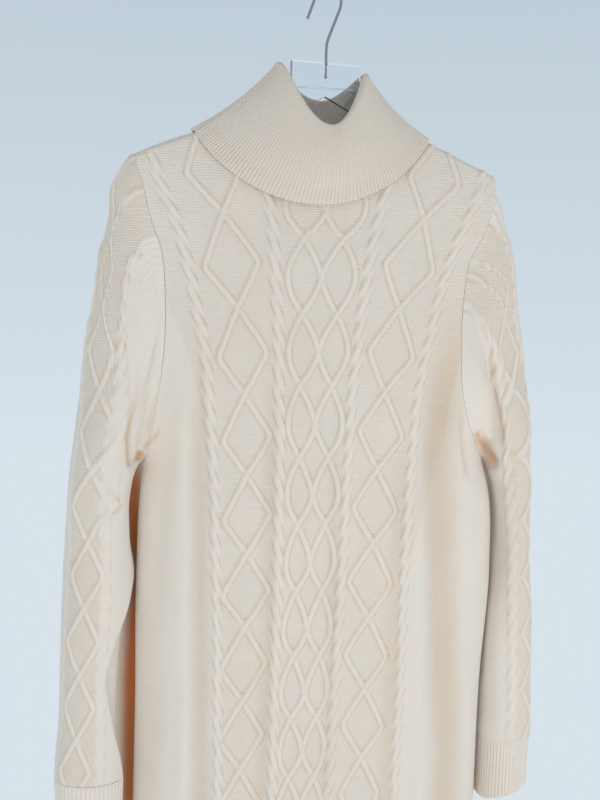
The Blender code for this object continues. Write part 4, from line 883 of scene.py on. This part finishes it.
def sleeve(which, material):
    """A sleeve: the armhole's ring turns into a tube near its top, in a quarter round."""
    turn = np.linspace(0, 2 * np.pi, SLEEVE_COLUMNS, endpoint=False)[None]
    share = stations(0.0, (0.03, 12), (1.0, 252))[:, None]
    start = along(armhole(which), turn[0] / (2 * np.pi))
    end = SLEEVE_END[which]
    drop = -start[:, 2] * (1 - share) + end * share
    joined = np.sqrt(1 - (1 - np.minimum(share / SLEEVE_ROOT, 1.0)) ** 2)[..., None]
    angle = turn + 0 * drop
    plain = start * (1 - joined) + tube_point(which, angle, drop) * joined
    plain[..., 2] = -drop
    out = outward(plain, plain.mean(axis=1, keepdims=True))
    out[[0, -1], :, 2] = 0
    lifted, mark_shade = marks(plain)
    plain += out * (lifted * ramp(0, 0.03, share))[..., None]
    height, ground, painted_dark = sleeve_cables(which, plain, drop)
    height *= ramp(0, 0.02, share) * ramp(0, RELIEF_MARGIN, end - drop)
    height += unevenness(angle * SLEEVE_RADIUS, drop, UNEVEN) * ramp(0, 0.05, share)
    flat = np.stack([angle * SLEEVE_RADIUS, -drop], -1)
    # Painted shade in the grooves, on the purl ground and in the creases, and painted deep shade in
    # the creases and beside the body.
    return shell("knit_sleeve_" + which, material, plain + out * height[..., None], plain, out,
                 flat, (4, 4), 2 * np.pi * SLEEVE_RADIUS,
                 {"purl": ground,
                  "painted_shade": np.maximum(painted_dark, SLEEVE_GROUND_PAINTED_SHADE * ground) + MARK_PAINTED_SHADE * mark_shade,
                  "painted_deep_shade": np.maximum(MARK_PAINTED_DEEP_SHADE * mark_shade ** 2, shaded(which, angle, drop))})


def ribs(turn, count):
    """0 to 1 across each rib of a ring: the size of a sine, which leaves narrow valleys."""
    return np.abs(np.sin(count * turn / 2)) ** RIB_POWER


def cuff(which, material):
    """A ribbed band below the sleeve, drawn in a little at its middle."""
    top = SLEEVE_END[which]
    turn = np.linspace(0, 2 * np.pi, CUFF_RIBS * 8, endpoint=False)[None]
    share = stations(0.0, (0.06, 3), (0.94, 26), (1.0, 3))[:, None]
    ring = tube_point(which, turn, np.full_like(turn, top))
    centre = ring.mean(axis=1, keepdims=True)
    tight = CUFF_TIGHT[which] - CUFF_WAIST * np.sin(np.pi * share)[..., None]
    plain = centre + (ring - centre) * tight
    drop = top + SEAM + share * (CUFF - CUFF_SLANT[which] * np.cos(turn))
    plain[..., 2] = -drop
    out = outward(plain, centre * (1, 1, 0) + plain * (0, 0, 1))
    high = ribs(turn, CUFF_RIBS)
    height = RIB_RISE * high * (0.45 + 0.55 * np.sin(np.pi * share) ** 0.2)
    flat = np.stack([turn * SLEEVE_RADIUS + 0 * drop, -drop], -1)
    # Painted shade in the valleys between ribs, and painted deep shade beside the body.
    values = {"painted_shade": (1 - high) ** 2 + 0 * drop, "painted_deep_shade": shaded(which, turn, drop)}
    return shell("rib_cuff_" + which, material, plain + out * height[..., None], plain, out, flat,
                 (8, 4), 2 * np.pi * SLEEVE_RADIUS, values)


def hem_band(material):
    """A ribbed band below the front and back."""
    turn = np.linspace(0, 2 * np.pi, HEM_RIBS * 5, endpoint=False)[None]
    share = stations(0.0, (0.06, 2), (0.94, 14), (1.0, 2))[:, None]
    drop = BODY_END + SEAM + HEM * share + 0 * turn
    reach = by_side(np.sin(turn), lambda way: read(BODY, way, drop))
    x = reach * np.sin(turn)
    depth = np.where(np.cos(turn) > 0, -body_depth(x, drop, "front"), body_depth(x, drop, "back"))
    plain = np.stack([x, depth * (np.abs(np.cos(turn)) > 1e-6), -drop], -1)
    out = outward(plain, plain.mean(axis=1, keepdims=True))
    high = ribs(turn, HEM_RIBS)
    height = RIB_RISE * high + 0 * drop
    flat = np.stack([turn * HEM_RADIUS + 0 * drop, -drop], -1)
    # Painted shade in the valleys between ribs.
    return shell("rib_hem", material, plain + out * height[..., None], plain, out, flat, (6, 5),
                 2 * np.pi * HEM_RADIUS, {"painted_shade": (1 - high) ** 2 + 0 * drop})


# ---- Collar ------------------------------------------------------------------------------------
def collar_edge(turn):
    """The flap's lower edge: a ring on the body's face, moved out by COLLAR_CLEAR."""
    x = COLLAR_CENTRE + COLLAR_EDGE["half_width"] * np.sin(turn)
    at_side = shoulder(COLLAR_CENTRE + COLLAR_EDGE["half_width"] * np.sign(np.sin(turn)))
    ring = np.zeros((len(turn), 3))
    for side, here in (("front", np.cos(turn) >= 0), ("back", np.cos(turn) < 0)):
        sink = (COLLAR_EDGE[side] - at_side) * np.abs(np.cos(turn)) ** COLLAR_EDGE["power"]
        drop = np.maximum(at_side + sink, top_edge(x, side))
        points, out = body_points(x, drop, side)
        clear = COLLAR_CLEAR * (1 - 0.5 * np.sin(turn) ** 2)[:, None]
        ring[here] = (points + out * clear)[here]
    return ring


def collar_fold(turn):
    """The middle of the fold's roll, and the level direction outwards from it."""
    half = np.where(np.sin(turn) < 0, COLLAR_FOLD["left"], COLLAR_FOLD["right"])
    deep = np.where(np.cos(turn) > 0, COLLAR_FOLD["depth_front"], COLLAR_FOLD["depth_back"])
    low = np.where(np.cos(turn) > 0, COLLAR_FOLD["front"], COLLAR_FOLD["back"])
    x = half * np.sin(turn)
    side = COLLAR_FOLD["side"] + COLLAR_LEAN * x
    drop = side + (low - side) * np.abs(np.cos(turn)) ** COLLAR_FOLD["power"]
    out = np.stack([np.sin(turn) / half, -np.cos(turn) / deep, 0 * turn], -1)
    out /= np.linalg.norm(out, axis=-1, keepdims=True)
    return np.stack([x, -deep * np.cos(turn), -drop], -1), out


def neckline(turn):
    """The body's neck edge at each turn, moved inwards by one wall."""
    x = NECK_HALF * np.sin(turn)
    ring = np.zeros((len(turn), 3))
    for side, here in (("front", np.cos(turn) >= 0), ("back", np.cos(turn) < 0)):
        points, _ = body_points(x, top_edge(x, side), side)
        ring[here] = points[here]
    inwards = np.stack([-np.sin(turn), 0.6 * np.cos(turn), 0 * turn], -1)
    return ring + inwards * WALL + (0, 0, 2 * SEAM)


def collar(material):
    """The turned-down collar in one wall: the flap up from its edge, the fold, and the stand."""
    turn = np.linspace(0, 2 * np.pi, COLLAR_RIBS * 5, endpoint=False)
    edge, neck = collar_edge(turn), neckline(turn)
    fold, out = collar_fold(turn)
    bulge = COLLAR_EDGE["bulge_front"] * np.cos(turn) ** 2
    bulge += COLLAR_EDGE["bulge_side"] * np.sin(turn) ** 2
    up = stations(0.0, (0.02, 2), (0.3, 18), (1.0, 28))
    rows = []
    for share in up:
        lift = (bulge * 4 * share * (1 - share))[:, None] * (out + (0, 0, 0.6))
        rows.append(edge * (1 - share) + (fold + out * FOLD_RADIUS) * share + lift)
    roll = np.radians(stations(18.0, (180.0, 9)))
    for tilt in roll:
        rows.append(fold + (out * math.cos(tilt) + (0, 0, math.sin(tilt))) * FOLD_RADIUS)
    inside = rows[-1]
    for share in stations(0.0, (1.0, 24))[1:]:
        rows.append(inside * (1 - share) + neck * share)
    plain = np.array(rows)
    count = len(up)
    core = np.concatenate([plain[:count] - out, np.repeat(fold[None], len(roll), axis=0),
                           plain[count + len(roll):] + out])
    normal = outward(plain, core)
    high = ribs(turn, COLLAR_RIBS)
    welt = 1 - ramp(COLLAR_WELT, COLLAR_WELT + 0.04, np.r_[up, np.ones(len(plain) - count)])
    strength = (ABOVE_WELT + (1 - ABOVE_WELT) * welt)[:, None]
    height = RIB_RISE * high * strength
    run = lengths(plain, 0).mean(axis=1, keepdims=True)
    flat = np.stack([turn * COLLAR_RADIUS + 0 * run, run + 0 * turn], -1)
    # Painted shade in the valleys between ribs, and over the whole collar.
    values = {"painted_shade": (1 - high) ** 2 * strength + COLLAR_PAINTED_SHADE, "welt": welt[:, None] + 0 * high}
    return shell("rib_collar", material, plain + normal * height[..., None], plain, normal, flat,
                 (2, 5), 2 * np.pi * COLLAR_RADIUS, values)


# ---- Hook --------------------------------------------------------------------------------------
def hook(material):
    """Chrome wire: a round section carried along the stem, a slant, the loop and its tip.

    The line through them is smoothed by averaging each point with its neighbours, and half an
    ellipsoid rounds either end.
    """
    centre = WIRE - LOOP
    angles = np.radians(np.linspace(*LOOP_ARC, 60))
    arc = np.stack([LOOP_SHIFT + LOOP * np.cos(angles), centre + LOOP * np.sin(angles)], -1)
    last = angles[-1]
    tip = arc[-1] + HOOK_TIP * np.array([-math.sin(last), math.cos(last)])
    path = np.vstack([STEM, arc, [tip]])
    length = np.r_[0, np.cumsum(np.linalg.norm(np.diff(path, axis=0), axis=1))]
    at = np.linspace(0, length[-1], 150)
    smooth = np.stack([np.interp(at, length, path[:, k]) for k in range(2)], -1)
    for _ in range(12):
        smooth[1:-1] = (smooth[:-2] + 2 * smooth[1:-1] + smooth[2:]) / 4
    line = np.stack([smooth[:, 0] * math.cos(HOOK_TURN), smooth[:, 0] * math.sin(HOOK_TURN),
                     smooth[:, 1]], -1)
    run = np.gradient(line, axis=0)
    run /= np.linalg.norm(run, axis=1, keepdims=True)
    flat_way = np.array([-math.sin(HOOK_TURN), math.cos(HOOK_TURN), 0.0])
    side = np.cross(run, flat_way)
    cap = np.linspace(0, np.pi / 2, 6)[1:-1]
    beyond = WIRE * CAP_LENGTH * np.cos(cap)
    centres = np.vstack([line[0] - np.outer(beyond, run[0]), line,
                         line[-1] + np.outer(beyond[::-1], run[-1])])
    sides = np.vstack([np.repeat(side[:1], len(cap), axis=0), side,
                       np.repeat(side[-1:], len(cap), axis=0)])
    radii = WIRE * np.r_[np.sin(cap), np.ones(len(line)), np.sin(cap[::-1])]
    turn = np.linspace(0, 2 * np.pi, 24, endpoint=False)
    ring = np.cos(turn)[None, :, None] * sides[:, None] + np.sin(turn)[None, :, None] * flat_way
    points = (centres[:, None] + ring * radii[:, None, None]).reshape(-1, 3)
    index = np.arange(len(points)).reshape(len(centres), len(turn))
    poles = [line[0] - WIRE * CAP_LENGTH * run[0], line[-1] + WIRE * CAP_LENGTH * run[-1]]
    points = np.vstack([points, poles])
    first, final = np.r_[index[0], index[0, 0]], np.r_[index[-1], index[-1, 0]]
    tips = [np.stack([first[:-1], first[1:], 0 * first[1:] + len(points) - 2], -1),
            np.stack([final[1:], final[:-1], 0 * final[1:] + len(points) - 1], -1)]
    return place("chrome_hook", points, [grid_faces(index, True), np.concatenate(tips)], material)


# ---- Materials ---------------------------------------------------------------------------------
def join(tree, out, into):
    """A link from one socket to another."""
    tree.links.new(out, into)


def maths(tree, operation, *inputs):
    """A Math node on sockets or numbers, and its output."""
    node = tree.nodes.new("ShaderNodeMath")
    node.operation = operation
    for slot, value in zip(node.inputs, inputs):
        if isinstance(value, (int, float)):
            slot.default_value = value
        else:
            join(tree, value, slot)
    return node.outputs[0]


def noise(tree, where, scale, detail):
    """A noise texture's value on the given coordinates."""
    node = tree.nodes.new("ShaderNodeTexNoise")
    node.inputs["Scale"].default_value = scale
    node.inputs["Detail"].default_value = detail
    join(tree, where, node.inputs["Vector"])
    return node.outputs["Fac"]


def colour_mix(tree, low, high, factor):
    """A colour between two, which are sockets or three numbers, by a factor."""
    node = tree.nodes.new("ShaderNodeMix")
    node.data_type = "RGBA"
    for slot, colour in ((node.inputs[6], low), (node.inputs[7], high)):
        if isinstance(colour, tuple):
            slot.default_value = (*colour, 1)
        else:
            join(tree, colour, slot)
    join(tree, factor, node.inputs["Factor"])
    return node.outputs[2]


def attribute(tree, name):
    """A mesh attribute's value."""
    node = tree.nodes.new("ShaderNodeAttribute")
    node.attribute_name = name
    return node.outputs["Fac"]


def new_material(name):
    """A material, its node tree, its shader and its Object coordinates."""
    material = bpy.data.materials.new(name)
    material.use_nodes = True
    tree = material.node_tree
    where = tree.nodes.new("ShaderNodeTexCoord").outputs["Object"]
    return material, tree, tree.nodes["Principled BSDF"], where


def knit_stitch_group():
    """Stitch height on the cloth's UV map, plain or purl, and the painted shade between them.

    A plain stitch is two legs that slant together: a cosine down the column whose phase shifts
    with the distance from the column's middle, with a valley between columns. A purl row is a
    level ridge that waves slightly from stitch to stitch.
    """
    group = bpy.data.node_groups.new("knit_stitch", "ShaderNodeTree")
    face = group.interface
    face.new_socket("Cloth", in_out="INPUT", socket_type="NodeSocketVector")
    for label, value in (("Width", STITCH), ("Row", ROW), ("Purl", 0.0)):
        face.new_socket(label, in_out="INPUT", socket_type="NodeSocketFloat").default_value = value
    face.new_socket("Height", in_out="OUTPUT", socket_type="NodeSocketFloat")
    face.new_socket("Shade", in_out="OUTPUT", socket_type="NodeSocketFloat")
    into = group.nodes.new("NodeGroupInput").outputs
    out = group.nodes.new("NodeGroupOutput").inputs
    wander = noise(group, into["Cloth"], 140.0, 1.0)
    loose = maths(group, "MULTIPLY", maths(group, "SUBTRACT", wander, 0.5), 0.9)
    parts = group.nodes.new("ShaderNodeSeparateXYZ")
    join(group, into["Cloth"], parts.inputs[0])
    column = maths(group, "DIVIDE", parts.outputs["X"], into["Width"])
    row = maths(group, "ADD", maths(group, "DIVIDE", parts.outputs["Y"], into["Row"]), loose)
    off = maths(group, "ABSOLUTE", maths(group, "SUBTRACT", maths(group, "FRACT", column), 0.5))
    slant = maths(group, "ADD", row, off)
    legs = maths(group, "COSINE", maths(group, "MULTIPLY", slant, 2 * math.pi))
    beyond = maths(group, "MULTIPLY", off, 2.0)
    valley = maths(group, "SUBTRACT", 1.0, maths(group, "POWER", beyond, 3.0))
    plain = maths(group, "MULTIPLY", maths(group, "MULTIPLY_ADD", legs, 0.3, 0.7), valley)
    turn = maths(group, "MULTIPLY", column, 2 * math.pi)
    wave = maths(group, "MULTIPLY", maths(group, "COSINE", turn), 0.10)
    bars = maths(group, "MULTIPLY", maths(group, "ADD", row, wave), 2 * math.pi)
    purl = maths(group, "MULTIPLY_ADD", maths(group, "COSINE", bars), 0.5, 0.5)
    blend = group.nodes.new("ShaderNodeMix")
    join(group, into["Purl"], blend.inputs["Factor"])
    join(group, plain, blend.inputs[2])
    join(group, purl, blend.inputs[3])
    join(group, blend.outputs[0], out["Height"])
    # Painted shade: the valleys between stitches darken by one less their height.
    join(group, maths(group, "SUBTRACT", 1.0, blend.outputs[0]), out["Shade"])
    return group


def knit_material(name, stitches, depth, shade):
    """Soft wool: stitches and fuzz in bump, and painted shade between stitches and in grooves,
    darker and warmer.

    depth is how far the stitches stand out in metres, and shade how much of the painted shade
    colour the valleys between them take.
    """
    material, tree, shader, where = new_material(name)
    shader.inputs["Roughness"].default_value = 0.9
    shader.inputs["Sheen Weight"].default_value = 0.18
    shader.inputs["Sheen Roughness"].default_value = 0.5
    shader.inputs["Sheen Tint"].default_value = (1.0, 0.96, 0.92, 1)
    shader.inputs["Specular IOR Level"].default_value = 0.2
    shader.inputs["Subsurface Weight"].default_value = 0.2
    shader.inputs["Subsurface Radius"].default_value = (1.0, 0.55, 0.30)
    shader.inputs["Subsurface Scale"].default_value = 0.004
    cloth = tree.nodes.new("ShaderNodeUVMap")
    cloth.uv_map = "cloth"
    knit = tree.nodes.new("ShaderNodeGroup")
    knit.node_tree = stitches
    join(tree, cloth.outputs[0], knit.inputs["Cloth"])
    ground = attribute(tree, "purl")
    join(tree, ground, knit.inputs["Purl"])
    patches = noise(tree, where, 9.0, 3.0)
    fuzz = noise(tree, where, 700.0, 2.0)

    # Painted shade: valleys between stitches, the purl ground, grooves, creases and fold troughs
    # are mixed towards the painted shade colour.
    valley_shade = maths(tree, "MULTIPLY", knit.outputs["Shade"], shade)
    on_ground = maths(tree, "MULTIPLY_ADD", ground, 0.8, 0.5)
    stitch_shade = maths(tree, "MULTIPLY", valley_shade, on_ground)
    base_shade = maths(tree, "MULTIPLY_ADD", ground, GROUND_PAINTED_SHADE, stitch_shade)
    painted_dark = maths(tree, "MULTIPLY_ADD", attribute(tree, "painted_shade"), GROOVE_PAINTED_SHADE, base_shade)
    patches_and_shade = maths(tree, "MINIMUM", maths(tree, "MULTIPLY_ADD", patches, PATCH_TONE, painted_dark),
                   DEEPEST)
    wool = colour_mix(tree, IVORY, IVORY_PAINTED_SHADE, patches_and_shade)
    # Painted deep shade: a warm dark colour where only light through the cloth reaches, beside the
    # body and in creases.
    join(tree, colour_mix(tree, wool, IVORY_PAINTED_DEEP_SHADE, attribute(tree, "painted_deep_shade")),
         shader.inputs["Base Color"])

    relief = maths(tree, "MULTIPLY_ADD", fuzz, 0.5, knit.outputs["Height"])
    bump = tree.nodes.new("ShaderNodeBump")
    bump.inputs["Distance"].default_value = depth
    join(tree, relief, bump.inputs["Height"])
    join(tree, bump.outputs[0], shader.inputs["Normal"])
    return material


def clear_material():
    """Clear acrylic, faintly blue, with light scratches in its polish."""
    material, tree, shader, where = new_material("clear_acrylic_polished")
    shader.inputs["Transmission Weight"].default_value = 1.0
    shader.inputs["IOR"].default_value = 1.49
    scratches = noise(tree, where, 60.0, 4.0)
    join(tree, maths(tree, "MULTIPLY", scratches, 0.06), shader.inputs["Roughness"])
    tint = colour_mix(tree, (0.93, 0.96, 0.98), (0.97, 0.98, 0.99), scratches)
    join(tree, tint, shader.inputs["Base Color"])
    return material


def chrome_material():
    """Chrome plate on wire, with faint drawing marks."""
    material, tree, shader, where = new_material("chrome_plate")
    shader.inputs["Metallic"].default_value = 1.0
    drawn = noise(tree, where, 300.0, 3.0)
    join(tree, maths(tree, "MULTIPLY_ADD", drawn, 0.12, 0.06), shader.inputs["Roughness"])
    join(tree, colour_mix(tree, (0.30, 0.31, 0.34), (0.42, 0.43, 0.46), drawn),
         shader.inputs["Base Color"])
    return material


def floor_material():
    """Pale matt paint with a little unevenness."""
    material, tree, shader, where = new_material("pale_floor")
    shader.inputs["Roughness"].default_value = 0.7
    cloud = noise(tree, where, 3.0, 2.0)
    join(tree, colour_mix(tree, (0.74, 0.78, 0.82), (0.80, 0.83, 0.86), cloud),
         shader.inputs["Base Color"])
    return material


# ---- Camera, light and floor -------------------------------------------------------------------
def look_matrix(place_at, back, roll):
    """A camera's or lamp's matrix from its place, the direction behind it and its roll.

    Its right and up are the level direction and the one above it, turned about the view.
    """
    back = np.array(back) / np.linalg.norm(back)
    level = np.cross((0, 0, 1), back)
    level /= np.linalg.norm(level)
    above = np.cross(back, level)
    right = level * math.cos(roll) + above * math.sin(roll)
    up = above * math.cos(roll) - level * math.sin(roll)
    matrix = np.eye(4)
    matrix[:3, 0], matrix[:3, 1], matrix[:3, 2], matrix[:3, 3] = right, up, back, place_at
    return Matrix(matrix.tolist())


def camera():
    """The camera: a little from the left and above, and rolled slightly."""
    azimuth, elevation, roll = (math.radians(value) for value in CAMERA_TURN)
    back = (math.sin(azimuth) * math.cos(elevation), -math.cos(azimuth) * math.cos(elevation),
            math.sin(elevation))
    data = bpy.data.cameras.new("camera")
    data.lens = LENS
    data.clip_start = 0.02
    eye = bpy.data.objects.new("camera", data)
    bpy.context.scene.collection.objects.link(eye)
    eye.matrix_world = look_matrix(CAMERA_PLACE, back, roll)
    bpy.context.scene.camera = eye


def lamp(name, spot, power, size, colour):
    """A soft square lamp that faces the dress."""
    data = bpy.data.lights.new(name, "AREA")
    data.shape = "RECTANGLE"
    data.energy, data.size, data.size_y, data.color = power, size[0], size[1], colour
    light = bpy.data.objects.new(name, data)
    bpy.context.scene.collection.objects.link(light)
    light.matrix_world = look_matrix(spot, np.array(spot) - LAMP_AIM, 0.0)


def surroundings():
    """A pale bluish room: a world whose colour runs with height, the lamps and a floor."""
    world = bpy.data.worlds.new("room")
    world.use_nodes = True
    tree = world.node_tree
    sky = tree.nodes["Background"]
    way = tree.nodes.new("ShaderNodeTexCoord")
    parts = tree.nodes.new("ShaderNodeSeparateXYZ")
    join(tree, way.outputs["Generated"], parts.inputs[0])
    shade = tree.nodes.new("ShaderNodeValToRGB")
    shade.color_ramp.elements[0].color = (*ROOM_LOW, 1)
    shade.color_ramp.elements[1].color = (*ROOM_HIGH, 1)
    join(tree, maths(tree, "MULTIPLY_ADD", parts.outputs["Z"], *ROOM_RISE), shade.inputs[0])
    join(tree, shade.outputs[0], sky.inputs["Color"])
    bpy.context.scene.world = world
    bpy.context.scene.view_settings.view_transform = "Standard"
    for row in LAMPS:
        lamp(*row)
    half, front, behind, level = FLOOR
    x, y = np.meshgrid(np.linspace(-half, half, FLOOR_POINTS),
                       np.linspace(front, behind, FLOOR_POINTS))
    points = np.stack([x, y, np.full_like(x, level)], -1).reshape(-1, 3)
    mesh = bpy.data.meshes.new("floor")
    faces = grid_faces(np.arange(len(points)).reshape(x.shape), False)[:, ::-1]
    mesh.from_pydata(points.tolist(), [], faces.tolist())
    mesh.materials.append(floor_material())
    floor = bpy.data.objects.new("floor", mesh)
    bpy.context.scene.collection.objects.link(floor)


# ---- The whole ---------------------------------------------------------------------------------
STITCHES = knit_stitch_group()
KNIT = knit_material("ivory_knit_wool", STITCHES, 0.00030, 0.16)
RIB = knit_material("ivory_rib_wool", STITCHES, 0.00025, 0.14)

side_share = np.linspace(-1, 1, 281)
front_rows = stations(0.0, (0.012, 6), (0.72, 262), (1.0, 36))
back_rows = stations(0.0, (0.012, 6), (1.0, 194))
PIECES = (
    (panel("knit_front", "front", side_share, front_rows, (4, 2), KNIT), "front", "knit",
     (0.46, 0.95), 0.40, ["hanger"]),
    (panel("knit_back", "back", np.linspace(-1, 1, 161), back_rows, (4, 2), KNIT), "back",
     "knit", (0.44, 0.95), 0.38, ["hanger"]),
    (sleeve("left", KNIT), "sleeve_left", "knit", (0.28, 0.61), 0.120,
     ["knit_front", "knit_back"]),
    (sleeve("right", KNIT), "sleeve_right", "knit", (0.28, 0.60), 0.118,
     ["knit_front", "knit_back"]),
    (cuff("left", RIB), "cuff_left", "rib", (0.20, 0.064), None, ["knit_sleeve_left"]),
    (cuff("right", RIB), "cuff_right", "rib", (0.20, 0.064), None, ["knit_sleeve_right"]),
    (hem_band(RIB), "hem_band", "rib", (0.85, 0.045), None, ["knit_front", "knit_back"]),
    (collar(RIB), "collar", "rib", (0.42, 0.15), None, ["knit_front", "knit_back"]))
for piece, node, finish, cut, area, held_by in PIECES:
    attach(piece, "root")
    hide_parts(node)

wire = hook(chrome_material())
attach(wire, "root")
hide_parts("hook")

clear = clear_material()
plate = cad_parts["hanger"]
for slot in plate.material_slots:
    slot.material = clear

camera()
surroundings()
